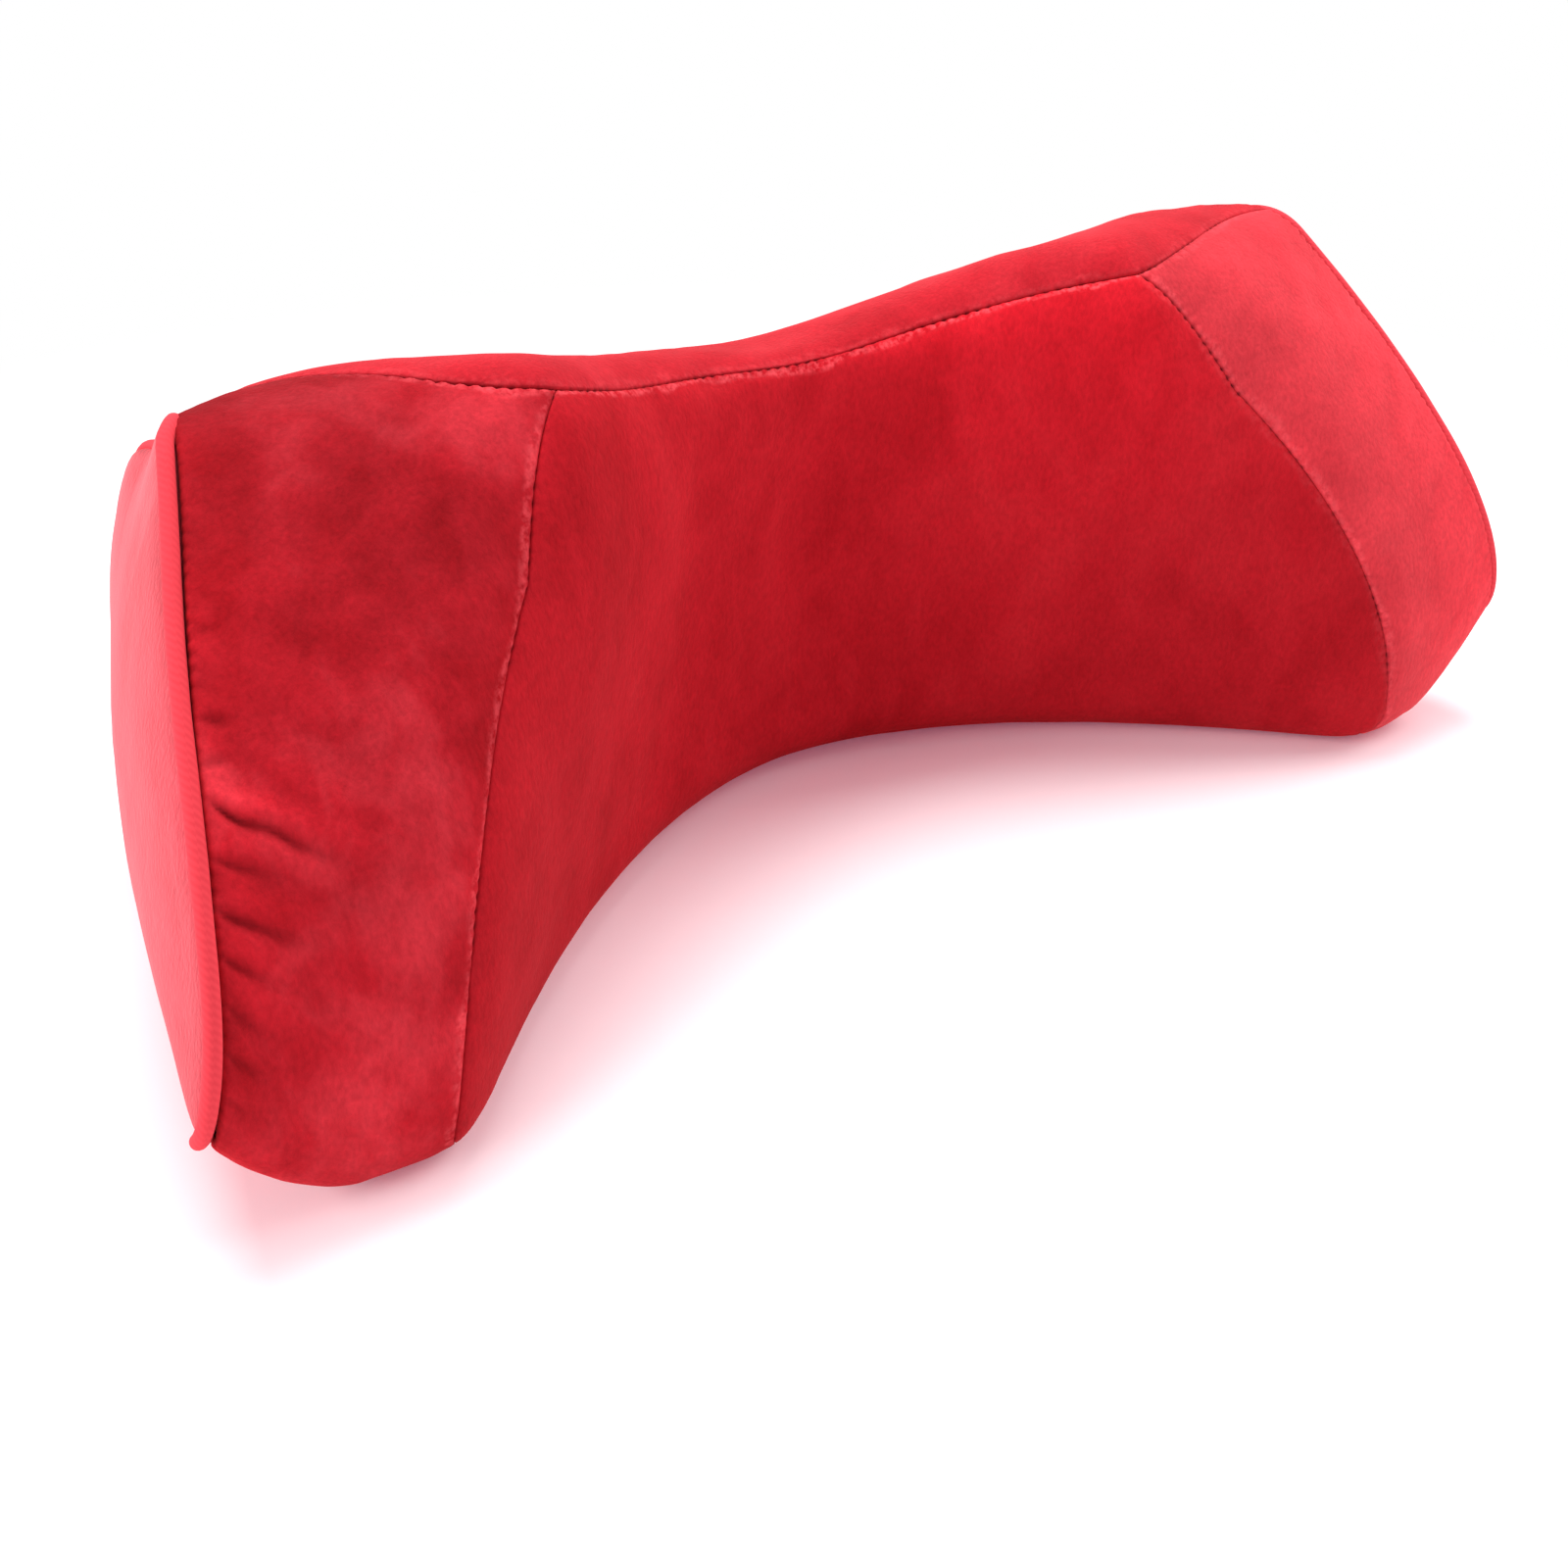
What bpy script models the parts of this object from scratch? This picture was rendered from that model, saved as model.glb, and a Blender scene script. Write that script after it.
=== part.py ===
"""Car neck pillow: a sewn velvet cover over a foam core, with piped ends and an elastic strap behind.

The pillow lies on its flat base with its length along X and its neck hollow towards -Y.
All sizes are in metres.
"""

import math

import bmesh
import bpy
import numpy as np

# Depth of the front, measured forward from the back: in the middle of the neck hollow, at the fold
# between hollow and lobe, and at the ends. Each is given at the foot, at mid height and at the top.
HOLLOW_FOOT_DEPTH = 0.0645
HOLLOW_MIDDLE_DEPTH = 0.0610
HOLLOW_TOP_DEPTH = 0.0700
LOBE_FOOT_DEPTH = 0.1315
LOBE_MIDDLE_DEPTH = 0.1310
LOBE_TOP_DEPTH = 0.0970
END_FOOT_DEPTH = 0.1275
END_MIDDLE_DEPTH = 0.1310
END_TOP_DEPTH = 0.0735
LOBE_FOOT_BOW = -0.0025
LOBE_MIDDLE_BOW = 0.0020
LOBE_TOP_BOW = -0.0040
HOLLOW_CURVE = 1.78
FOLD_SOFTNESS = 0.0035

# Heights of the front's middle, of the front edge of the top and of the back edge of the top, and
# the depth of that back edge. The lobe's heights hold at LOBE_PLACE, a share of the half length.
LOBE_PLACE = 0.6
HOLLOW_MIDDLE_HEIGHT = 0.0395
END_MIDDLE_HEIGHT = 0.0565
HOLLOW_TOP_HEIGHT = 0.0940
LOBE_TOP_HEIGHT = 0.1170
END_TOP_HEIGHT = 0.1080
HOLLOW_BACK_HEIGHT = 0.0895
LOBE_BACK_HEIGHT = 0.0905
END_BACK_HEIGHT = 0.0855
HOLLOW_BACK_DEPTH = 0.0375
END_BACK_DEPTH = 0.0255
TOP_CROWN = 0.0010
BACK_CROWN = 0.0060

# How far the foot lifts off the ground at the ends, and where that starts on the half length
END_FOOT_LIFT = 0.0195
LIFT_START = 0.86

# Length of the tangents of each rounded edge
HOLLOW_FOOT_ROUND = 0.017
END_FOOT_ROUND = 0.010
HOLLOW_TOP_ROUND = 0.0075
LOBE_TOP_ROUND = 0.041
END_TOP_ROUND = 0.009
MIDDLE_BACK_ROUND = 0.014
END_BACK_ROUND = 0.024
BACK_FOOT_ROUND = 0.014

# The ends: half length at the foot, how far they lean in over LEAN_HEIGHT, and their splay and dome
FOOT_HALF_LENGTH = 0.1510
END_LEAN = 0.0247
END_LEAN_EASE = 0.0025
LEAN_HEIGHT = 0.105
END_SPLAY = 0.19
END_DOME = 0.005

# The side seams of the neck panel, as shares of the half length at its top and its foot
NECK_SEAM_TOP = 0.528
NECK_SEAM_FOOT = 0.756
NECK_SEAM_BOW = 0.085

# Cover, core, piping and strap
COVER_THICKNESS = 0.0020
SEAM_GAP = 0.0004
CORE_CLEARANCE = 0.0005
PIPING_RADIUS = 0.0021
STRAP_WIDTH = 0.025
STRAP_THICKNESS = 0.0012

# Places round the section: 0 foot edge, 1 top front edge, 2 top back edge, 3 back foot edge, 4 foot
# edge again. A rounded edge takes a quarter on each side of its number and a face takes the rest.
EDGE_SHARE = 0.25
FOOT_SEAM = -0.20
TOP_SEAM = 1.0
BACK_SEAM = 3.20
STRAP_PLACE = 2.5

# Mesh density
NECK_COLUMNS = 14
WING_COLUMNS = 6
EDGE_ROWS = 4
FACE_ROWS = 6
TOP_ROWS = 2
END_RINGS = (0.90, 0.70, 0.45, 0.20)
PIPING_POINTS = 56
DERIVATIVE_STEP = 0.002

VELVET_RED = (0.55, 0.02, 0.04)
PIPING_RED = (0.60, 0.03, 0.05)
FOAM_WHITE = (0.85, 0.82, 0.72)
ELASTIC_BLACK = (0.02, 0.02, 0.022)


def unit(vectors):
    return vectors / np.linalg.norm(vectors, axis=-1, keepdims=True)


def through_three(middle, lobe, end, u):
    """Smooth curve through three values, level in the middle of the pillow, bending on at the lobe."""
    inner = (lobe - middle) / LOBE_PLACE
    outer = (end - lobe) / (1 - LOBE_PLACE)
    at_lobe = inner * (1 - LOBE_PLACE) + outer * LOBE_PLACE
    beyond = u > LOBE_PLACE
    span = np.where(beyond, 1 - LOBE_PLACE, LOBE_PLACE)
    t = (u - np.where(beyond, LOBE_PLACE, 0)) / span
    start, stop = np.where(beyond, lobe, middle), np.where(beyond, end, lobe)
    slope_in = np.where(beyond, at_lobe, 0) * span
    slope_out = np.where(beyond, 2 * outer - at_lobe, at_lobe) * span
    return (
        (2 * t**3 - 3 * t**2 + 1) * start
        + (t**3 - 2 * t**2 + t) * slope_in
        + (3 * t**2 - 2 * t**3) * stop
        + (t**3 - t**2) * slope_out
    )


def neck_seam(v):
    """Side seam of the neck panel: its share of the half length at each place round the section."""
    rise = np.clip(v, 0, 1)
    front = NECK_SEAM_FOOT + (NECK_SEAM_TOP - NECK_SEAM_FOOT) * rise + NECK_SEAM_BOW * 4 * rise * (1 - rise)
    fall = np.clip((v - TOP_SEAM) / (BACK_SEAM - TOP_SEAM), 0, 1)
    behind = NECK_SEAM_TOP + (NECK_SEAM_FOOT - NECK_SEAM_TOP) * fall
    return np.where(v > TOP_SEAM, behind, front)


def front_depth(hollow, lobe, end, bow, seam, u):
    """The lesser of the hollow's curve and the lobe's line, blended where they meet at the fold."""
    hollow_curve = hollow + (lobe - hollow) * (u / seam) ** HOLLOW_CURVE
    w = (u - seam) / (1 - seam)
    lobe_line = lobe + (end - lobe) * w + bow * 4 * w * (1 - w) * (w > 0)
    least = np.minimum(hollow_curve, lobe_line)
    blend = np.exp((least - hollow_curve) / FOLD_SOFTNESS) + np.exp((least - lobe_line) / FOLD_SOFTNESS)
    return least - FOLD_SOFTNESS * np.log(blend)


def section(u, v):
    """(depth, height) of the cover at u along the half length (0 to 1) and v round the section."""
    u, v = np.broadcast_arrays(np.abs(np.asarray(u, float)), np.asarray(v, float))
    lift = END_FOOT_LIFT * (np.clip(u - LIFT_START, 0, 1) / (1 - LIFT_START)) ** 1.7
    top = through_three(HOLLOW_TOP_HEIGHT, LOBE_TOP_HEIGHT, END_TOP_HEIGHT, u)
    back = through_three(HOLLOW_BACK_HEIGHT, LOBE_BACK_HEIGHT, END_BACK_HEIGHT, u)
    middle = HOLLOW_MIDDLE_HEIGHT + (END_MIDDLE_HEIGHT - HOLLOW_MIDDLE_HEIGHT) * u**2
    back_depth = HOLLOW_BACK_DEPTH + (END_BACK_DEPTH - HOLLOW_BACK_DEPTH) * u**2
    foot_seam, middle_seam, top_seam = neck_seam(np.array([0, 0.5, 1]))
    foot = front_depth(HOLLOW_FOOT_DEPTH, LOBE_FOOT_DEPTH, END_FOOT_DEPTH, LOBE_FOOT_BOW, foot_seam, u)
    belly = front_depth(
        HOLLOW_MIDDLE_DEPTH, LOBE_MIDDLE_DEPTH, END_MIDDLE_DEPTH, LOBE_MIDDLE_BOW, middle_seam, u
    )
    brow = front_depth(HOLLOW_TOP_DEPTH, LOBE_TOP_DEPTH, END_TOP_DEPTH, LOBE_TOP_BOW, top_seam, u)
    edges = np.stack(
        [
            np.stack([foot, lift], -1),
            np.stack([brow, top], -1),
            np.stack([back_depth, back], -1),
            np.stack([np.zeros_like(u), lift], -1),
        ]
    )
    faces = (edges + np.roll(edges, -1, axis=0)) / 2
    faces[0] = np.stack([belly, middle], -1)
    faces[1, ..., 1] += TOP_CROWN
    faces[2, ..., 0] -= BACK_CROWN
    rounds = np.stack(
        [
            HOLLOW_FOOT_ROUND + (END_FOOT_ROUND - HOLLOW_FOOT_ROUND) * u**2,
            through_three(HOLLOW_TOP_ROUND, LOBE_TOP_ROUND, END_TOP_ROUND, u),
            MIDDLE_BACK_ROUND + (END_BACK_ROUND - MIDDLE_BACK_ROUND) * u**2,
            np.full_like(u, BACK_FOOT_ROUND),
        ]
    )[..., None]
    lap = np.mod(v + EDGE_SHARE, 4)
    edge = np.floor(lap).astype(int) % 4
    part = (lap - np.floor(lap))[..., None]

    def chosen(stack, shift):
        index = ((edge + shift) % 4)[None, ..., None]
        return np.take_along_axis(stack, np.broadcast_to(index, (1, *stack.shape[1:])), 0)[0]

    def tangent_point(corner, towards, length):
        leg = np.linalg.norm(towards - corner, axis=-1, keepdims=True)
        return corner + (towards - corner) * np.minimum(length / leg, 0.9)

    corner, face = chosen(edges, 0), chosen(faces, 0)
    first = tangent_point(corner, chosen(faces, -1), chosen(rounds, 0))
    second = tangent_point(corner, face, chosen(rounds, 0))
    third = tangent_point(chosen(edges, 1), face, chosen(rounds, 1))
    s = np.clip(part * 2, 0, 1)
    t = np.clip(part * 2 - 1, 0, 1)
    arc = (1 - s) ** 2 * first + 2 * s * (1 - s) * corner + s**2 * second
    wall = (1 - t) ** 2 * second + 2 * t * (1 - t) * face + t**2 * third
    return np.where(part < 0.5, arc, wall)


def end_face(depth, height):
    """How far out the end face lies at a depth and a height."""
    s = height / LEAN_HEIGHT
    lean = END_LEAN * s - END_LEAN_EASE * s**2
    return FOOT_HALF_LENGTH - lean + END_SPLAY * (depth - END_FOOT_DEPTH)


def end_reach(v):
    """Half length of the pillow at each place round the section."""
    rim = section(np.ones_like(v), v)
    return end_face(rim[..., 0], rim[..., 1])


def surface(u, v):
    """Point of the cover's outer surface, with the back plane at Y = 0."""
    u, v = np.broadcast_arrays(np.asarray(u, float), np.asarray(v, float))
    flat = section(u, v)
    return np.stack([u * end_reach(v), -flat[..., 0], flat[..., 1]], -1)


def surface_normal(u, v):
    along = surface(u + DERIVATIVE_STEP, v) - surface(u - DERIVATIVE_STEP, v)
    around = surface(u, v + DERIVATIVE_STEP) - surface(u, v - DERIVATIVE_STEP)
    return unit(np.cross(along, around))


def row_places(start, stop, rows):
    return list(np.linspace(start, stop, rows + 1)[:-1])


def rows_between(start, stop):
    """Places round the section from start to stop: close on the rounded edges, wider on the faces."""
    counts = {0: FACE_ROWS, 1: TOP_ROWS, 2: FACE_ROWS, 3: TOP_ROWS}
    places = []
    for edge in range(-1, 5):
        places += row_places(edge - EDGE_SHARE, edge + EDGE_SHARE, EDGE_ROWS)
        places += row_places(edge + EDGE_SHARE, edge + 1 - EDGE_SHARE, counts[edge % 4])
    spare = 0.3 * EDGE_SHARE / EDGE_ROWS
    return np.array([start] + [v for v in places if start + spare < v < stop - spare] + [stop])


def columns(first, last, count, rows, reach_in):
    """Column places u for each row: the neck panel spans -1 to 1, a wing the next step outwards."""
    seam = neck_seam(rows)
    end = 1 - reach_in / end_reach(rows)
    c = np.linspace(first, last, count + 1)[:, None]
    wing = seam + (end - seam) * (np.abs(c) - 1)
    return np.where(np.abs(c) <= 1, c * seam, np.sign(c) * wing)


def all_columns(rows, reach_in):
    left = columns(-2, -1, WING_COLUMNS, rows, reach_in)
    neck = columns(-1, 1, NECK_COLUMNS, rows, reach_in)
    right = columns(1, 2, WING_COLUMNS, rows, reach_in)
    return np.concatenate([left[:-1], neck[:-1], right])


def raised(u, rows, height):
    return surface(u, rows) + surface_normal(u, rows) * height


def pulled_in(points, gap):
    """The grid with its four borders moved in by half a seam gap."""
    points = points.copy()
    for axis in (0, 1):
        grid = np.moveaxis(points, axis, 0)
        first = unit(grid[1] - grid[0]) * gap / 2
        last = unit(grid[-2] - grid[-1]) * gap / 2
        grid[0] += first
        grid[-1] += last
    return points


def new_part(name, points, faces, material):
    mesh = bpy.data.meshes.new(name)
    mesh.from_pydata(points.tolist(), [], faces)
    builder = bmesh.new()
    builder.from_mesh(mesh)
    bmesh.ops.triangulate(builder, faces=builder.faces, quad_method="FIXED")
    bmesh.ops.recalc_face_normals(builder, faces=builder.faces)
    builder.to_mesh(mesh)
    builder.free()
    mesh.shade_smooth()
    mesh.set_sharp_from_angle(angle=math.radians(50))
    mesh.materials.append(material)
    return bpy.data.objects.new(name, mesh)


def sheet_part(name, outer, inner, material):
    """Closed sheet between two grids of the same size."""
    count, rows = outer.shape[:2]
    index = np.arange(count * rows).reshape(count, rows)
    quads = [index[:-1, :-1], index[1:, :-1], index[1:, 1:], index[:-1, 1:]]
    top = np.stack(quads, -1).reshape(-1, 4)
    border = np.concatenate([index[:-1, 0], index[-1, :-1], index[:0:-1, -1], index[0, :0:-1]])
    following = np.roll(border, -1)
    below = count * rows
    rim = np.stack([border, border + below, following + below, following], -1)
    faces = np.concatenate([top, top[:, [0, 3, 2, 1]] + below, rim])
    points = np.concatenate([outer.reshape(-1, 3), inner.reshape(-1, 3)])
    return new_part(name, points, faces.tolist(), material)


def ring_part(name, first_pole, rings, last_pole, material):
    """Closed body through a run of rings, closed at each end by a fan to a pole."""
    count, sides = rings.shape[:2]
    index = np.arange(count * sides).reshape(count, sides) + 1
    beside = np.roll(index, -1, axis=1)
    walls = np.stack([index[:-1], beside[:-1], beside[1:], index[1:]], -1).reshape(-1, 4)
    last = count * sides + 1
    fans = [[0, beside[0, k], index[0, k]] for k in range(sides)]
    fans += [[last, index[-1, k], beside[-1, k]] for k in range(sides)]
    points = np.concatenate([[first_pole], rings.reshape(-1, 3), [last_pole]])
    faces = walls.tolist() + [[int(i) for i in fan] for fan in fans]
    return new_part(name, points, faces, material)


def cover_panel(name, u, rows, material):
    outer = pulled_in(raised(u, rows, 0), SEAM_GAP)
    inner = pulled_in(raised(u, rows, -COVER_THICKNESS), SEAM_GAP)
    return sheet_part(name, outer, inner, material)


def end_outline(rows, inset):
    """(depth, height) of the end's outline, moved in by an inset."""
    rim = section(np.ones_like(rows), rows)
    along = section(np.ones_like(rows), rows + DERIVATIVE_STEP) - section(
        np.ones_like(rows), rows - DERIVATIVE_STEP
    )
    outward = unit(np.stack([along[:, 1], -along[:, 0]], -1))
    return rim - outward * inset


def end_rings(outline, shares, inset):
    """Rings of the domed end, at each share of the outline's size, and the pole in its middle."""
    centre = outline.mean(axis=0)
    flat = centre + (outline - centre) * np.array([*shares, 0])[:, None, None]
    out = end_face(flat[..., 0], flat[..., 1]) - inset
    out = out + END_DOME * (1 - np.array([*shares, 0])[:, None] ** 2)
    points = np.stack([out, -flat[..., 0], flat[..., 1]], -1)
    return points[:-1], points[-1, 0]


def end_panel(name, side, material):
    outline = end_outline(round_rows(), seam_setback())
    shares = (1.0, *END_RINGS)
    outer, outer_pole = end_rings(outline, shares, 0)
    inner, inner_pole = end_rings(outline, shares, COVER_THICKNESS)
    rings = np.concatenate([outer[::-1], inner])
    mirror = np.array([side, 1, 1])
    return ring_part(name, outer_pole * mirror, rings * mirror, inner_pole * mirror, material)


def round_rows():
    return rows_between(FOOT_SEAM, FOOT_SEAM + 4)[:-1]


def seam_setback():
    """How far the panels stop short of the end's edge, which leaves room for the piping."""
    return max(COVER_THICKNESS, PIPING_RADIUS) + SEAM_GAP


def piping(name, side, material):
    setback = seam_setback()
    touch = 2 * (PIPING_RADIUS + CORE_CLEARANCE) ** 2 - setback**2
    proud = (math.sqrt(max(touch, 0)) - setback) / 2
    rows = np.linspace(0, 4, PIPING_POINTS + 1)[:-1]
    path = end_outline(rows, -proud)
    out = end_reach(rows) + proud
    curve = bpy.data.curves.new(name, "CURVE")
    curve.dimensions = "3D"
    curve.bevel_depth = PIPING_RADIUS
    curve.bevel_resolution = 2
    spline = curve.splines.new("POLY")
    spline.points.add(len(rows) - 1)
    for point, x, (depth, height) in zip(spline.points, out, path):
        point.co = (side * x, -depth, height, 1)
    spline.use_cyclic_u = True
    curve.materials.append(material)
    return bpy.data.objects.new(name, curve)


def foam_core(name, material):
    inset = COVER_THICKNESS + CORE_CLEARANCE
    rows = round_rows()
    body = raised(all_columns(rows, seam_setback()), rows, -inset)
    rings, pole = end_rings(end_outline(rows, inset), END_RINGS, inset)
    mirror = np.array([-1, 1, 1])
    whole = np.concatenate([rings[::-1] * mirror, body, rings])
    return ring_part(name, pole * mirror, whole, pole, material)


def back_strap(name, material):
    slope = np.linalg.norm(
        surface(0, STRAP_PLACE + DERIVATIVE_STEP) - surface(0, STRAP_PLACE - DERIVATIVE_STEP)
    )
    half = STRAP_WIDTH / 2 * 2 * DERIVATIVE_STEP / slope
    rows = np.linspace(STRAP_PLACE - half, STRAP_PLACE + half, 5)
    u = all_columns(rows, seam_setback())
    outer = raised(u, rows, SEAM_GAP + STRAP_THICKNESS)
    inner = raised(u, rows, SEAM_GAP)
    return sheet_part(name, outer, inner, material)


def principled(name, colour, roughness):
    material = bpy.data.materials.new(name)
    material.use_nodes = True
    shader = material.node_tree.nodes["Principled BSDF"]
    shader.inputs["Base Color"].default_value = (*colour, 1)
    shader.inputs["Roughness"].default_value = roughness
    shader.inputs["Metallic"].default_value = 0
    return material


def corners_of(part, graph):
    """Lowest and highest corner of the part as the viewport evaluates it."""
    shown = part.evaluated_get(graph)
    mesh = shown.to_mesh()
    points = np.empty(len(mesh.vertices) * 3)
    mesh.vertices.foreach_get("co", points)
    shown.to_mesh_clear()
    points = points.reshape(-1, 3)
    return points.min(axis=0), points.max(axis=0)


def stand_on_floor(parts, holder):
    """Moves the holder so that the pillow stands on Z = 0 with its box centred on the origin."""
    bpy.context.view_layer.update()
    graph = bpy.context.evaluated_depsgraph_get()
    corners = np.array([corners_of(part, graph) for part in parts])
    low, high = corners[:, 0].min(axis=0), corners[:, 1].max(axis=0)
    holder.location = (-(low[0] + high[0]) / 2, -(low[1] + high[1]) / 2, -low[2])


def build():
    for old in list(bpy.data.objects):
        bpy.data.objects.remove(old, do_unlink=True)
    velvet = principled("short_pile_velvet", VELVET_RED, 0.85)
    trim = principled("velvet_piping", PIPING_RED, 0.8)
    foam = principled("polyurethane_foam", FOAM_WHITE, 0.9)
    elastic = principled("woven_elastic", ELASTIC_BLACK, 0.75)
    reach_in = seam_setback()
    front = rows_between(FOOT_SEAM, TOP_SEAM)
    behind = rows_between(TOP_SEAM, BACK_SEAM)
    below = rows_between(BACK_SEAM, FOOT_SEAM + 4)
    parts = [
        foam_core("foam_core", foam),
        cover_panel("neck_panel", columns(-1, 1, NECK_COLUMNS, front, reach_in), front, velvet),
        cover_panel("left_wing_panel", columns(-2, -1, WING_COLUMNS, front, reach_in), front, velvet),
        cover_panel("right_wing_panel", columns(1, 2, WING_COLUMNS, front, reach_in), front, velvet),
        cover_panel("back_panel", all_columns(behind, reach_in), behind, velvet),
        cover_panel("base_panel", all_columns(below, reach_in), below, velvet),
        end_panel("left_end_panel", -1, velvet),
        end_panel("right_end_panel", 1, velvet),
        piping("left_piping", -1, trim),
        piping("right_piping", 1, trim),
        back_strap("back_strap", elastic),
    ]
    collection = bpy.data.collections.new("car_neck_pillow")
    bpy.context.scene.collection.children.link(collection)
    holder = bpy.data.objects.new("pillow_origin", None)
    collection.objects.link(holder)
    for part in parts:
        collection.objects.link(part)
        part.parent = holder
    stand_on_floor(parts, holder)


build()
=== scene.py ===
import math

import bpy
import numpy as np
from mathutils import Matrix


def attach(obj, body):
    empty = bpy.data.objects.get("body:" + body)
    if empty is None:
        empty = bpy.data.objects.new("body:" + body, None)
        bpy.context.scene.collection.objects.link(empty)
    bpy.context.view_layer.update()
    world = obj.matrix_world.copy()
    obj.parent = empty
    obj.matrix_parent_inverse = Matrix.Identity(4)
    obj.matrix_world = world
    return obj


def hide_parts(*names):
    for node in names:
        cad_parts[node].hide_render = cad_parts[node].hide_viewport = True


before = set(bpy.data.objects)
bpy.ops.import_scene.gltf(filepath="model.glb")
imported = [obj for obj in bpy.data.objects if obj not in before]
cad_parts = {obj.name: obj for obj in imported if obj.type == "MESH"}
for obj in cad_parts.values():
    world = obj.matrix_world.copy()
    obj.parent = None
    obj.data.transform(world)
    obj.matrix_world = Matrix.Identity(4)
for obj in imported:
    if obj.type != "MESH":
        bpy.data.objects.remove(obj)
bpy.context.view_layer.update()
mm = 0.001

scene = bpy.context.scene
scene.view_settings.view_transform = "Standard"


# camera

cameraView = {
    "place": (-0.1799, -0.2440, 0.1834),  # metres, in the part's own frame
    "lookDown": 31.23,  # degrees below the horizon
    "turn": 35.74,  # degrees round from straight ahead
    "lens": 38.03,
}

cameraData = bpy.data.cameras.new("productCamera")
cameraData.lens = cameraView["lens"]
cameraData.sensor_width = 36
cameraData.clip_start = 0.01
camera = bpy.data.objects.new("productCamera", cameraData)
camera.location = cameraView["place"]
camera.rotation_euler = (
    math.radians(90 - cameraView["lookDown"]), 0, -math.radians(cameraView["turn"]))
scene.collection.objects.link(camera)
scene.camera = camera
print("camera placed")


# colours and nodes

def linearColour(hexCode, alpha=1.0):
    # each sRGB channel: v / 12.92 below 0.04045, ((v + 0.055) / 1.055) ^ 2.4 above
    channels = [int(hexCode[i:i + 2], 16) / 255 for i in (1, 3, 5)]
    linear = [v / 12.92 if v <= 0.04045 else ((v + 0.055) / 1.055) ** 2.4 for v in channels]
    return (*linear, alpha)


def addNode(tree, kind, settings=None, inputs=None):
    # a node given as an input is linked from its first output
    made = tree.nodes.new("ShaderNode" + kind)
    for name, value in (settings or {}).items():
        setattr(made, name, value)
    for name, value in (inputs or {}).items():
        socket = made.inputs[name]
        if isinstance(value, bpy.types.Node):
            value = value.outputs[0]
        if isinstance(value, bpy.types.NodeSocket):
            tree.links.new(value, socket)
        else:
            socket.default_value = value
    return made


def emptyMaterial(name):
    material = bpy.data.materials.new(name)
    material.use_nodes = True
    material.node_tree.nodes.clear()
    return material, material.node_tree


def rampStops(rampNode, stops):
    # stops: (position, colour) pairs, left to right
    ramp = rampNode.color_ramp
    while len(ramp.elements) < len(stops):
        ramp.elements.new(0.5)
    for element, (position, colour) in zip(ramp.elements, stops):
        element.position = position
        element.color = colour


def finishMaterial(tree, colour, height, bumpStrength, look):
    # bump, shader and output; look holds the shader's own inputs
    bump = addNode(tree, "Bump", {}, {"Strength": bumpStrength, "Distance": 1.0, "Height": height})
    shader = addNode(tree, "BsdfPrincipled", {}, {"Base Color": colour, "Normal": bump, **look})
    addNode(tree, "OutputMaterial", {}, {"Surface": shader})


# studio: white table, pale surroundings, two square soft boxes and one overhead

studio = {
    "tableColour": "#f8f4f5",
    "tableLift": 0.20,  # light that only the camera sees on the table
    "liftColour": "#ff8ab0",
    "whiteFrom": 0.15,  # metres from the pillow at which the table starts to turn plain white
    "whiteTo": 0.42,
    "surroundStrength": 0.40,
    "tableHalfSize": 4.0,
    "leftBoxWatts": 10.6,
    "rightBoxWatts": 9.6,
    "overheadWatts": 18.0,
}


def cameraShare(tree):
    # 1 for what the camera sees straight or in a gloss or through glass, else 0
    path = addNode(tree, "LightPath")
    either = addNode(tree, "Math", {"operation": "MAXIMUM"},
                     {0: path.outputs["Is Camera Ray"], 1: path.outputs["Is Glossy Ray"]})
    return addNode(tree, "Math", {"operation": "MAXIMUM"},
                   {0: either, 1: path.outputs["Is Transmission Ray"]}).outputs[0]


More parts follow.
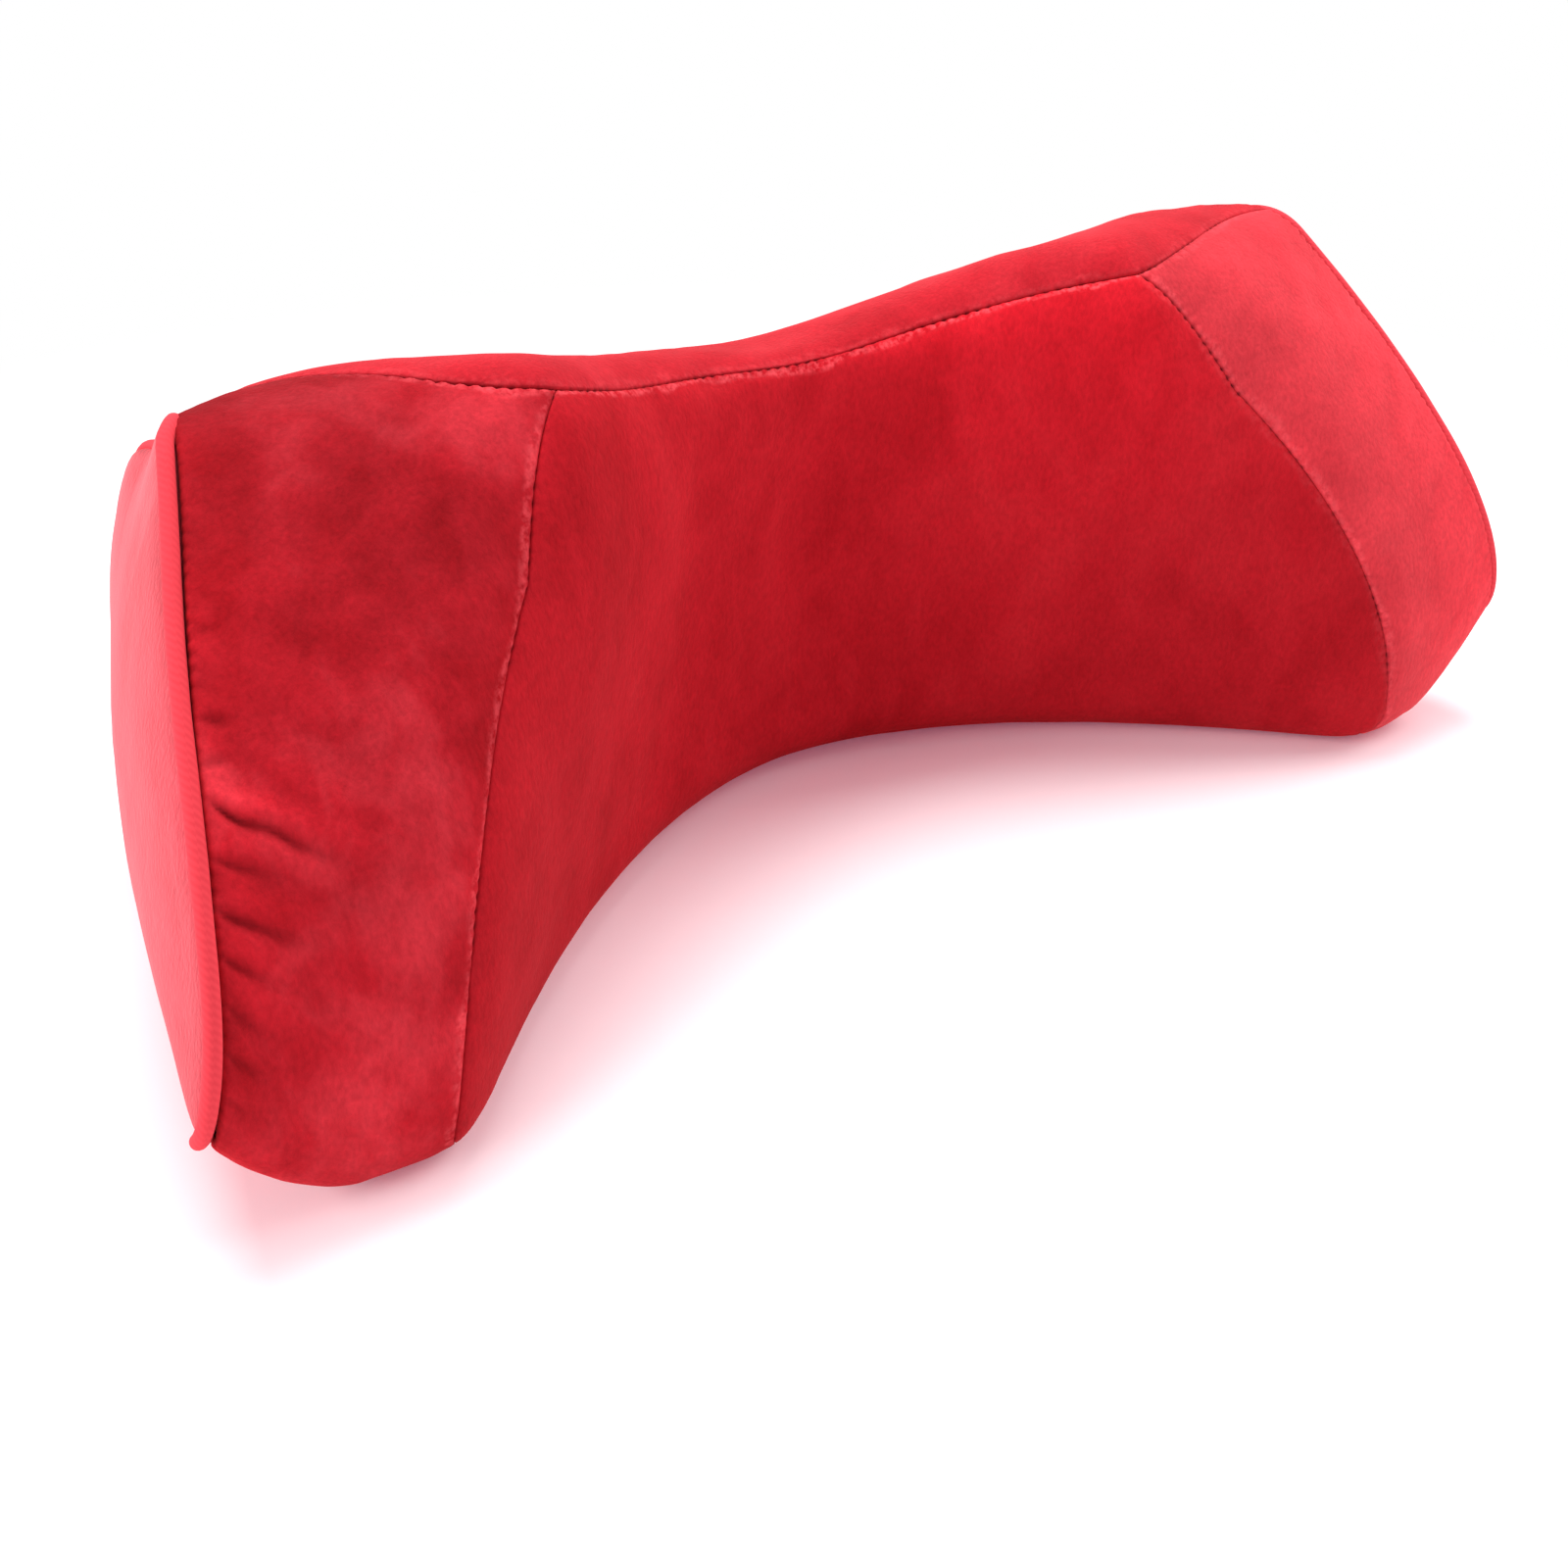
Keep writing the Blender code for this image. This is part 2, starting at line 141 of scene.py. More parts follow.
def makeStudio():
    world = bpy.data.worlds.new("paleStudio")
    scene.world = world
    world.use_nodes = True
    tree = world.node_tree
    tree.nodes.clear()
    seen = cameraShare(tree)
    strength = addNode(tree, "MapRange", {}, {
        "Value": seen, "To Min": studio["surroundStrength"], "To Max": 1.0})
    background = addNode(tree, "Background", {}, {
        "Color": (1, 1, 1, 1), "Strength": strength})
    addNode(tree, "OutputWorld", {}, {"Surface": background})

    size = studio["tableHalfSize"]
    mesh = bpy.data.meshes.new("whiteTable")
    mesh.from_pydata([(-size, -size, 0), (size, -size, 0), (size, size, 0), (-size, size, 0)],
                     [], [(0, 1, 2, 3)])
    table = bpy.data.objects.new("whiteTable", mesh)
    scene.collection.objects.link(table)
    material, tree = emptyMaterial("whitePaperTable")
    paper = addNode(tree, "BsdfDiffuse", {}, {"Color": linearColour(studio["tableColour"])})
    seen = cameraShare(tree)
    lift = addNode(tree, "Math", {"operation": "MULTIPLY"}, {0: seen, 1: studio["tableLift"]})
    glow = addNode(tree, "Emission", {}, {
        "Color": linearColour(studio["liftColour"]), "Strength": lift})
    near = addNode(tree, "AddShader", {}, {0: paper, 1: glow})
    place = addNode(tree, "TexCoord").outputs["Object"]
    away = addNode(tree, "VectorMath", {"operation": "LENGTH"}, {0: place})
    beyond = addNode(tree, "MapRange", {"interpolation_type": "SMOOTHSTEP"}, {
        "Value": away.outputs["Value"], "From Min": studio["whiteFrom"], "From Max": studio["whiteTo"]})
    share = addNode(tree, "Math", {"operation": "MULTIPLY"}, {0: beyond, 1: seen})
    white = addNode(tree, "Emission", {}, {"Color": (1, 1, 1, 1), "Strength": 1.0})
    both = addNode(tree, "MixShader", {}, {
        0: share, 1: near, 2: white})
    addNode(tree, "OutputMaterial", {}, {"Surface": both})
    mesh.materials.append(material)


def softBox(name, place, aim, width, height, watts):
    light = bpy.data.lights.new(name, "AREA")
    light.shape = "RECTANGLE"
    light.size = width
    light.size_y = height
    light.energy = watts
    box = bpy.data.objects.new(name, light)
    place, aim = np.array(place), np.array(aim)
    look = aim - place
    box.location = place
    turn = math.atan2(look[0], -look[1])
    tilt = math.atan2(math.hypot(look[0], look[1]), -look[2])
    box.rotation_euler = (tilt, 0, turn + math.pi)
    scene.collection.objects.link(box)
    return box


makeStudio()
softBox("leftBox", (-1.1, 0.0, 0.5), (0, 0, 0.05), 0.9, 0.9, studio["leftBoxWatts"])
softBox("rightBox", (1.0, -0.28, 0.75), (0, 0, 0.05), 0.9, 0.9, studio["rightBoxWatts"])
softBox("overheadBox", (0.1, 0.36, 1.3), (0, 0, 0.05), 1.0, 0.7, studio["overheadWatts"])
print("studio lit")


# form of the pillow: the same sizes as the part, in metres

pillowForm = {
    "hollowDepth": (0.0645, 0.0610, 0.0700),  # forward from the back: foot, middle, top
    "lobeDepth": (0.1315, 0.1310, 0.0970),
    "endDepth": (0.1275, 0.1310, 0.0735),
    "lobeBow": (-0.0025, 0.0020, -0.0040),
    "hollowCurve": 1.78,
    "foldSoftness": 0.0035,
    "lobePlace": 0.6,
    "middleHeight": (0.0395, 0.0565),  # hollow, end
    "topHeight": (0.0940, 0.1170, 0.1080),  # hollow, lobe, end
    "backHeight": (0.0895, 0.0905, 0.0855),
    "backDepth": (0.0375, 0.0255),
    "topCrown": 0.0010,
    "backCrown": 0.0060,
    "endFootLift": 0.0195,
    "liftStart": 0.86,
    "footRound": (0.017, 0.010),
    "topRound": (0.0075, 0.041, 0.009),
    "backRound": (0.014, 0.024),
    "backFootRound": 0.014,
    "footHalfLength": 0.1510,
    "endLean": 0.0247,
    "endLeanEase": 0.0025,
    "leanHeight": 0.105,
    "endSplay": 0.19,
    "endDome": 0.005,
    "seamTop": 0.528,  # side seams of the neck panel, shares of the half length
    "seamFoot": 0.756,
    "seamBow": 0.085,
    "footSeam": -0.20,  # places round the section
    "topSeam": 1.0,
    "backSeam": 3.20,
    "edgeShare": 0.25,
    "forward": 0.06552,  # how far the back plane lies behind the part's origin
}


def smooth(t):
    # smoothstep of 0 to 1
    return t * t * (3 - 2 * t)


def unit(vectors):
    return vectors / np.maximum(np.linalg.norm(vectors, axis=-1, keepdims=True), 1e-12)


def throughThree(middle, lobe, end, u):
    # cubic Hermite curve: level at u = 0, through lobe at lobePlace, through end at u = 1
    place = pillowForm["lobePlace"]
    inner = (lobe - middle) / place
    outer = (end - lobe) / (1 - place)
    atLobe = inner * (1 - place) + outer * place
    beyond = u > place
    span = np.where(beyond, 1 - place, place)
    t = (u - np.where(beyond, place, 0)) / span
    start, stop = np.where(beyond, lobe, middle), np.where(beyond, end, lobe)
    slopeIn = np.where(beyond, atLobe, 0) * span
    slopeOut = np.where(beyond, 2 * outer - atLobe, atLobe) * span
    return ((2 * t**3 - 3 * t**2 + 1) * start + (t**3 - 2 * t**2 + t) * slopeIn
            + (3 * t**2 - 2 * t**3) * stop + (t**3 - t**2) * slopeOut)


def neckSeam(v):
    # parabola from seamFoot at v = 0 to seamTop at v = 1, then straight back to seamFoot behind
    form = pillowForm
    rise = np.clip(v, 0, 1)
    front = (form["seamFoot"] + (form["seamTop"] - form["seamFoot"]) * rise
             + form["seamBow"] * 4 * rise * (1 - rise))
    fall = np.clip((v - form["topSeam"]) / (form["backSeam"] - form["topSeam"]), 0, 1)
    behind = form["seamTop"] + (form["seamFoot"] - form["seamTop"]) * fall
    return np.where(v > form["topSeam"], behind, front)


def frontDepth(hollow, lobe, end, bow, seam, u):
    # smooth least of the hollow's power curve and the lobe's bowed line
    hollowCurve = hollow + (lobe - hollow) * (u / seam) ** pillowForm["hollowCurve"]
    w = (u - seam) / (1 - seam)
    lobeLine = lobe + (end - lobe) * w + bow * 4 * w * (1 - w) * (w > 0)
    least = np.minimum(hollowCurve, lobeLine)
    soft = pillowForm["foldSoftness"]
    return least - soft * np.log(np.exp((least - hollowCurve) / soft) + np.exp((least - lobeLine) / soft))


def section(u, v):
    # closed outline of quadratic Beziers: v = 0, 1, 2, 3 are the foot, top, back and back foot edges
    form = pillowForm
    u, v = np.broadcast_arrays(np.abs(np.asarray(u, float)), np.asarray(v, float))
    rampUp = np.clip(u - form["liftStart"], 0, 1) / (1 - form["liftStart"])
    lift = form["endFootLift"] * rampUp ** 1.7
    top = throughThree(*form["topHeight"], u)
    back = throughThree(*form["backHeight"], u)
    middle = form["middleHeight"][0] + (form["middleHeight"][1] - form["middleHeight"][0]) * u**2
    backDepth = form["backDepth"][0] + (form["backDepth"][1] - form["backDepth"][0]) * u**2
    seams = neckSeam(np.array([0, 0.5, 1]))
    foot, belly, brow = [
        frontDepth(form["hollowDepth"][k], form["lobeDepth"][k], form["endDepth"][k],
                   form["lobeBow"][k], seams[k], u)
        for k in range(3)]
    edges = np.stack([np.stack([foot, lift], -1), np.stack([brow, top], -1),
                      np.stack([backDepth, back], -1), np.stack([np.zeros_like(u), lift], -1)])
    faces = (edges + np.roll(edges, -1, axis=0)) / 2
    faces[0] = np.stack([belly, middle], -1)
    faces[1, ..., 1] += form["topCrown"]
    faces[2, ..., 0] -= form["backCrown"]
    rounds = np.stack([
        form["footRound"][0] + (form["footRound"][1] - form["footRound"][0]) * u**2,
        throughThree(*form["topRound"], u),
        form["backRound"][0] + (form["backRound"][1] - form["backRound"][0]) * u**2,
        np.full_like(u, form["backFootRound"])])[..., None]
    lap = np.mod(v + form["edgeShare"], 4)
    edge = np.floor(lap).astype(int) % 4
    part = (lap - np.floor(lap))[..., None]

    def chosen(stack, shift):
        index = ((edge + shift) % 4)[None, ..., None]
        return np.take_along_axis(stack, np.broadcast_to(index, (1, *stack.shape[1:])), 0)[0]

    def tangentPoint(corner, towards, length):
        leg = np.linalg.norm(towards - corner, axis=-1, keepdims=True)
        return corner + (towards - corner) * np.minimum(length / leg, 0.9)

    corner, face = chosen(edges, 0), chosen(faces, 0)
    first = tangentPoint(corner, chosen(faces, -1), chosen(rounds, 0))
    second = tangentPoint(corner, face, chosen(rounds, 0))
    third = tangentPoint(chosen(edges, 1), face, chosen(rounds, 1))
    s = np.clip(part * 2, 0, 1)
    t = np.clip(part * 2 - 1, 0, 1)
    arc = (1 - s) ** 2 * first + 2 * s * (1 - s) * corner + s**2 * second
    wall = (1 - t) ** 2 * second + 2 * t * (1 - t) * face + t**2 * third
    return np.where(part < 0.5, arc, wall)


def endFace(depth, height):
    # how far out the end lies: a leaning, splayed plane
    form = pillowForm
    s = height / form["leanHeight"]
    lean = form["endLean"] * s - form["endLeanEase"] * s**2
    return form["footHalfLength"] - lean + form["endSplay"] * (depth - form["endDepth"][0])


def endReach(v):
    rim = section(np.ones_like(v), v)
    return endFace(rim[..., 0], rim[..., 1])


def coverPoint(u, v):
    # u times the half length along X, the section's depth and height across it
    u, v = np.broadcast_arrays(np.asarray(u, float), np.asarray(v, float))
    flat = section(u, v)
    return np.stack([u * endReach(v), pillowForm["forward"] - flat[..., 0], flat[..., 1]], -1)


def coverNormal(u, v):
    # cross product of the two central differences
    step = 0.002
    along = coverPoint(u + step, v) - coverPoint(u - step, v)
    around = coverPoint(u, v + step) - coverPoint(u, v - step)
    return unit(np.cross(along, around))


def shareAt(c, v, tuck):
    # c = -2, -1, 1, 2 are the left end, the two side seams and the right end; tuck, a (left, right)
    # pair, is how far short of each end the cloth stops
    seam = neckSeam(v)
    end = 1 - np.where(c < 0, *tuck) / endReach(v)
    wing = seam + (end - seam) * (np.abs(c) - 1)
    return np.where(np.abs(c) <= 1, c * seam, np.sign(c) * wing)


# the top seam runs back over the left lobe: its place v is 1 as far as the side seam and more beyond it
seamDrift = {"amount": 0.28, "from": 1.1, "to": 2.1}


def topSeamAt(c):
    # smoothstep from the side seam outwards, on the left only
    span = seamDrift["to"] - seamDrift["from"]
    t = np.clip((-np.asarray(c, float) - seamDrift["from"]) / span, 0, 1)
    return pillowForm["topSeam"] + seamDrift["amount"] * smooth(t)


def placeOf(c, q):
    # q runs straight through each panel and v follows the drifting seam; elsewhere they agree
    foot, top, back = (pillowForm[key] for key in ("footSeam", "topSeam", "backSeam"))
    seam = topSeamAt(c)
    front = foot + (q - foot) / (top - foot) * (seam - foot)
    behind = seam + (q - top) / (back - top) * (back - seam)
    return np.where(q < top, front, np.where(q < back, behind, q))


def endOutline(v, inset):
    # the end's outline moved in along its own normal
    step = 0.002
    rim = section(np.ones_like(v), v)
    along = section(np.ones_like(v), v + step) - section(np.ones_like(v), v - step)
    outward = unit(np.stack([along[..., 1], -along[..., 0]], -1))
    return rim - outward * np.asarray(inset)[..., None]


def endPoint(share, v, inset, drop=0.0):
    # share of the outline's size about its middle, on the leaning end face with a low dome
    outline = endOutline(v, inset)
    middle = endOutline(np.linspace(0, 4, 97)[:-1], 2 * mm).mean(axis=0)
    flat = middle + (outline - middle) * share[..., None]
    out = endFace(flat[..., 0], flat[..., 1]) - drop + pillowForm["endDome"] * (1 - share**2)
    return np.stack([out, pillowForm["forward"] - flat[..., 0], flat[..., 1]], -1)


def behindShare(v):
    # 0 along the front of an end and 1 from the top round the back to the foot, with smoothsteps between
    rise, fall = np.clip((v - 0.86) / 0.36, 0, 1), np.clip((4.02 - v) / 0.22, 0, 1)
    return np.minimum(smooth(rise), smooth(fall))


# where the soft pillow lies a little off the sewn form: place, move and reach in mm
eases = [
    # the left end's top corner slumps, most behind its edge, and its lower back corner is slack
    {"at": (-123.0, 0.0, 104.0), "move": (0.8, 0.0, -0.8), "reach": 18},
    {"at": (-116.0, 14.0, 98.0), "move": (1.0, 0.0, -3.0), "reach": 11},
    {"at": (-129.0, 42.0, 38.0), "move": (2.6, -1.6, 0.0), "reach": 24},
    # the top band sinks left of the hollow and a little right of it
    {"at": (-56.0, 8.0, 104.0), "move": (0.0, 0.0, -3.9), "reach": 26},
    {"at": (78.0, -3.0, 108.0), "move": (0.0, 0.0, -0.9), "reach": 16},
    # the neck panel's left top corner stands up
    {"at": (-68.0, -34.0, 108.0), "move": (-1.3, 0.0, 3.5), "reach": 18},
    # gathers draw the left piping in, and it stands out at its foot and above them
    {"at": (-146.0, -62.0, 38.0), "move": (1.0, 0.0, 0.0), "reach": 18},
    {"at": (-150.0, -60.0, 6.0), "move": (-1.4, 0.0, 0.0), "reach": 14},
    {"at": (-134.0, -40.0, 84.0), "move": (-1.0, 0.0, 0.0), "reach": 22},
]


def eased(points):
    # each ease adds its move times a Gaussian of the distance over its reach
    total = 0
    for ease in eases:
        away = np.linalg.norm(points / mm - np.array(ease["at"]), axis=-1, keepdims=True)
        total = total + np.array(ease["move"]) * mm * np.exp(-(away / ease["reach"]) ** 2)
    return points + total


def closedRings(count, around):
    # quads between the rings and fans to the two poles, which come after all the rings
    index = np.arange(count * around).reshape(count, around)
    beside = np.roll(index, -1, axis=1)
    pole = count * around
    walls = np.stack([index[:-1], index[1:], beside[1:], beside[:-1]], -1).reshape(-1, 4)
    fans = np.concatenate([
        np.stack([np.full(around, pole), index[0], beside[0]], -1),
        np.stack([np.full(around, pole + 1), beside[-1], index[-1]], -1)])
    return walls, fans


def withPoles(rings):
    return np.concatenate([rings.reshape(-1, 3), [rings[0].mean(axis=0), rings[-1].mean(axis=0)]])


# noise as plain arrays, the same on every run

def hashNoise(ix, iy, seed):
    # sine hash of whole numbers, 0 to 1
    value = np.sin(ix * 127.1 + iy * 311.7 + seed * 74.7) * 43758.5453
    return value - np.floor(value)


def softNoise(x, y, seed):
    # value noise: smoothstep blend of the four corners of each cell, -1 to 1
    ix, iy = np.floor(x), np.floor(y)
    fx, fy = x - ix, y - iy
    fx, fy = smooth(fx), smooth(fy)
    low = hashNoise(ix, iy, seed) * (1 - fx) + hashNoise(ix + 1, iy, seed) * fx
    high = hashNoise(ix, iy + 1, seed) * (1 - fx) + hashNoise(ix + 1, iy + 1, seed) * fx
    return 2 * (low * (1 - fy) + high * fy) - 1


# the sewn cover, blown out against its seams by cloth simulation

coverSimulation = {
    "neckColumns": 40,
    "wingColumns": 14,
    "frontRows": 30,
    "behindRows": 44,
    "soleRows": 14,
    "endRings": (0.86, 0.70, 0.54, 0.38, 0.22, 0.10),
    "startInside": 3.0 * mm,  # the cover starts this far in between its seams
    "frames": 20,
    "mostOut": 1.3 * mm,  # caps on how far the cloth may end from the sewn form
    "mostIn": 0.5 * mm,
    "smoothing": 3,
    "capInset": 2.5 * mm,
    "cloth": {
        "quality": 8,
        "mass": 0.2,
        "tension_stiffness": 15,
        "compression_stiffness": 10,
        "shear_stiffness": 5,
        "bending_stiffness": 0.4,
        "air_damping": 2,
        "use_pressure": True,
        "uniform_pressure_force": 4.0,
        "shrink_min": -0.004,  # a little spare cloth, which buckles into soft undulations
        "pin_stiffness": 1,
    },
}
endTuck = (0.3 * mm, 0.3 * mm)


def simulationPlaces():
    setup, form = coverSimulation, pillowForm
    c = np.concatenate([
        np.linspace(-2, -1, setup["wingColumns"] + 1)[:-1],
        np.linspace(-1, 1, setup["neckColumns"] + 1)[:-1],
        np.linspace(1, 2, setup["wingColumns"] + 1)])
    v = np.concatenate([
        np.linspace(form["footSeam"], form["topSeam"], setup["frontRows"] + 1)[:-1],
        np.linspace(form["topSeam"], form["backSeam"], setup["behindRows"] + 1)[:-1],
        np.linspace(form["backSeam"], form["footSeam"] + 4, setup["soleRows"] + 1)[:-1]])
    return c, v


def simulateCover():
    # closed quad mesh of the whole cover; seams and sole are pinned, the rest swells under pressure
    setup, form = coverSimulation, pillowForm
    c, v = simulationPlaces()
    cGrid, qGrid = np.meshgrid(c, v, indexing="ij")
    vGrid = placeOf(cGrid, qGrid)
    u = shareAt(cGrid, vGrid, endTuck)
    body = coverPoint(u, vGrid)
    normals = coverNormal(u, vGrid)
    # between is 0 on every seam and on the sole, and 1 in the middle of each panel
    foot, top, back = form["footSeam"], form["topSeam"], form["backSeam"]
    front = qGrid < top
    lap = np.where(front, (qGrid - foot) / (top - foot), (qGrid - top) / (back - top))
    across = np.where(np.abs(cGrid) < 1, (cGrid + 1) / 2, np.abs(cGrid) - 1)
    across = np.where(front, across, (cGrid + 2) / 4)
    arch = np.sin(np.pi * np.clip(lap, 0, 1)) * np.sin(np.pi * np.clip(across, 0, 1))
    between = np.where(qGrid >= back, 0, np.sqrt(np.clip(arch, 0, 1)))
    start = body - normals * (setup["startInside"] * between)[..., None]
    shares = np.array(setup["endRings"])
    ringShare, ringV = np.meshgrid(shares, v, indexing="ij")
    cap = endPoint(ringShare, ringV, setup["capInset"])
    pole = endPoint(np.zeros(1), np.zeros(1), setup["capInset"])[0]
    sunk = setup["startInside"] * np.sqrt(1 - shares**2)
    capStart = cap - np.array([1, 0, 0]) * sunk[:, None, None]
    mirror = np.array([-1, 1, 1])
    rings = np.concatenate([capStart[::-1] * mirror, start, capStart])
    count, sides = rings.shape[:2]
    walls, fans = closedRings(count, sides)
    pole = pole - [setup["startInside"], 0, 0]
    points = np.concatenate([rings.reshape(-1, 3), [pole * mirror, pole]])
    mesh = bpy.data.meshes.new("coverCloth")
    mesh.from_pydata(points.tolist(), [], walls.tolist() + fans.tolist())
    mesh.update()
    cloth = bpy.data.objects.new("coverCloth", mesh)
    scene.collection.objects.link(cloth)

    depth = len(shares)
    pinned = np.zeros((count, sides), bool)
    seamColumns = np.isclose(np.abs(c), 1)
    pinned[depth:-depth] |= seamColumns[:, None] & (v <= top + 1e-9)
    pinned[depth:-depth] |= np.isclose(v, foot) | np.isclose(v, top) | (v >= back - 1e-9)
    pinned[depth] = pinned[-depth - 1] = True
    group = cloth.vertex_groups.new(name="sewnDown")
    group.add(np.flatnonzero(pinned.reshape(-1)).tolist(), 1.0, "REPLACE")
    modifier = cloth.modifiers.new("cloth", "CLOTH")
    settings = modifier.settings
    for key, value in setup["cloth"].items():
        setattr(settings, key, value)
    settings.vertex_group_mass = "sewnDown"
    settings.effector_weights.gravity = 0
    modifier.point_cache.frame_end = setup["frames"]
    for number in range(1, setup["frames"] + 1):
        scene.frame_set(number)
    shown = cloth.evaluated_get(bpy.context.evaluated_depsgraph_get())
    result = np.empty(len(points) * 3)
    shown.data.vertices.foreach_get("co", result)
    scene.frame_set(1)
    bpy.data.objects.remove(cloth, do_unlink=True)
    moved = result.reshape(-1, 3)[:-2].reshape(count, sides, 3)
    whole = np.concatenate([cap[::-1] * mirror, body, cap])
    leftwards, rightwards = (np.broadcast_to([side, 0, 0], cap.shape) for side in (-1.0, 1.0))
    outward = np.concatenate([leftwards, normals, rightwards])
    swell = ((moved - whole) * outward).sum(-1)
    print("cover simulated: it ends", np.round(swell.min() / mm, 2), "to", np.round(swell.max() / mm, 2),
          "mm from the sewn form")
    swell = np.where(swell > 0, setup["mostOut"] * np.tanh(swell / setup["mostOut"]),
                     setup["mostIn"] * np.tanh(swell / setup["mostIn"]))
    for _ in range(setup["smoothing"]):  # evens out what the coarse grid leaves
        beside = (np.roll(swell, 1, axis=1) + np.roll(swell, -1, axis=1)) / 2
        above = np.concatenate([swell[:1], swell[:-1]]) + np.concatenate([swell[1:], swell[-1:]])
        swell = swell / 2 + beside / 4 + above / 8
    swell[pinned] = 0
    shift = outward * swell[..., None]
    left = np.concatenate([shift[depth:depth + 1], shift[:depth][::-1]])
    return shift[depth:-depth], left, shift[-depth - 1:]


def catmull(t):
    # weights of the four points round t in a Catmull-Rom spline
    return [(-t**3 + 2 * t**2 - t) / 2, (3 * t**3 - 5 * t**2 + 2) / 2,
            (-3 * t**3 + 4 * t**2 + t) / 2, (t**3 - t**2) / 2]


def readGrid(grid, i, j):
    # Catmull-Rom in both directions; rows stop at the borders and columns run round
    baseI = np.clip(np.floor(i).astype(int), 0, grid.shape[0] - 2)
    baseJ = np.floor(j).astype(int)
    total = 0
    for stepI, weightI in zip((-1, 0, 1, 2), catmull(i - baseI)):
        row = np.clip(baseI + stepI, 0, grid.shape[0] - 1)
        for stepJ, weightJ in zip((-1, 0, 1, 2), catmull(j - baseJ)):
            total = total + grid[row, (baseJ + stepJ) % grid.shape[1]] * (weightI * weightJ)[..., None]
    return total


simC, simV = simulationPlaces()
bodyShift, leftShift, rightShift = simulateCover()


def rowIndex(v):
    lap = np.mod(v - pillowForm["footSeam"], 4) + pillowForm["footSeam"]
    return np.interp(lap, np.append(simV, pillowForm["footSeam"] + 4), np.arange(len(simV) + 1))


def bodySwell(c, q):
    return readGrid(bodyShift, np.interp(c, simC, np.arange(len(simC))), rowIndex(q))


def endSwell(share, v, side):
    shares = np.array((1.0, *coverSimulation["endRings"]))[::-1]
    place = np.interp(share, shares, np.arange(len(shares))[::-1])
    return readGrid(leftShift if side < 0 else rightShift, place, rowIndex(v))


# seams, stitches and gathers, as heights on the cover

seamLook = {
    "dip": 0.46 * mm,  # how far the cloth turns down into a seam
    "roll": 0.62 * mm,  # radius of that turn
    "gape": 1.40,  # how much wider and deeper a seam is at a stitch, as a share
    "hollow": 0.45 * mm,  # softer pull beside the seam
    "hollowWidth": 4.0 * mm,
    "stitch": 2.2 * mm,
    "pucker": 0.20 * mm,
    "puckerWidth": 2.0 * mm,
    "ripple": 0.20 * mm,
    "rippleWidth": 9.0 * mm,
    "line": 0.06,  # painted shade on the line between the stitches
    "lineWidth": 0.50 * mm,
}
quietSeamLook = {"dip": 0.38 * mm, "gape": 0.8, "hollow": 0.30 * mm, "pucker": 0.12 * mm, "line": 0.0,
                 "lineWidth": 0.30 * mm}
pipeSeamLook = {"dip": 1.3 * mm, "roll": 1.3 * mm, "gape": 0.15, "pucker": 0.22 * mm, "line": 0.20,
                "lineWidth": 0.5 * mm}
footSeamLook = {"dip": 0.9 * mm, "roll": 1.4 * mm, "gape": 0.1, "pucker": 0.04 * mm, "ripple": 0.08 * mm,
                "line": 0.5}
endCapSeam = {"dip": 0.35 * mm, "roll": 1.2 * mm, "gape": 0.1, "pucker": 0.04 * mm, "ripple": 0.08 * mm,
              "line": 0.05}

# creases that run in from the left piping: place on the seam (v), lean (change of v per 10 mm inwards),
# length and width in mm, depth in mm, distance from the piping at which each is deepest in mm
gathers = [
    {"at": 0.545, "lean": -0.010, "length": 22, "width": 0.70, "depth": 1.25, "peak": 3},
    {"at": 0.505, "lean": -0.004, "length": 9, "width": 0.75, "depth": 0.8, "peak": 2},
    {"at": 0.462, "lean": -0.005, "length": 13, "width": 0.80, "depth": 1.0, "peak": 2},
    {"at": 0.572, "lean": 0.004, "length": 4, "width": 0.7, "depth": 0.6, "peak": 2},
    {"at": 0.600, "lean": 0.006, "length": 5, "width": 0.7, "depth": 0.6, "peak": 2},
    {"at": 0.424, "lean": -0.010, "length": 8, "width": 0.8, "depth": 0.8, "peak": 2},
    {"at": 0.380, "lean": -0.014, "length": 6, "width": 0.9, "depth": 0.6, "peak": 2},
    {"at": 0.330, "lean": -0.018, "length": 6, "width": 0.9, "depth": 0.6, "peak": 2},
    {"at": 0.280, "lean": -0.015, "length": 5, "width": 1.0, "depth": 0.4, "peak": 2},
    {"at": 0.650, "lean": 0.015, "length": 4, "width": 0.9, "depth": 0.4, "peak": 2},
    {"at": 0.490, "lean": 0.000, "length": 9, "width": 1.2, "depth": 0.40, "peak": 27},
]


def seamLengths():
    # metres along each side seam by v, along the top seam by u and round an end by v
    v = np.linspace(pillowForm["footSeam"], pillowForm["topSeam"], 400)
    side = coverPoint(neckSeam(v), v)
    u = np.linspace(-1, 1, 600)
    top = coverPoint(u, np.full_like(u, pillowForm["topSeam"]))
    w = np.linspace(-0.25, 3.85, 1200)
    rim = coverPoint(np.ones_like(w), w)
    tables = []
    for place, line in ((v, side), (u, top), (w, rim)):
        steps = np.linalg.norm(np.diff(line, axis=0), axis=-1)
        tables.append((place, np.concatenate([[0], np.cumsum(steps)])))
    return tables


sideTable, topTable, rimTable = seamLengths()


def rollDown(d, radius, depth):
    # quarter circle that turns down by depth at d = 0
    inside = np.clip(radius - d, 0, radius)
    return (np.sqrt(np.maximum(radius**2 - inside**2, 0)) - radius) * depth / radius


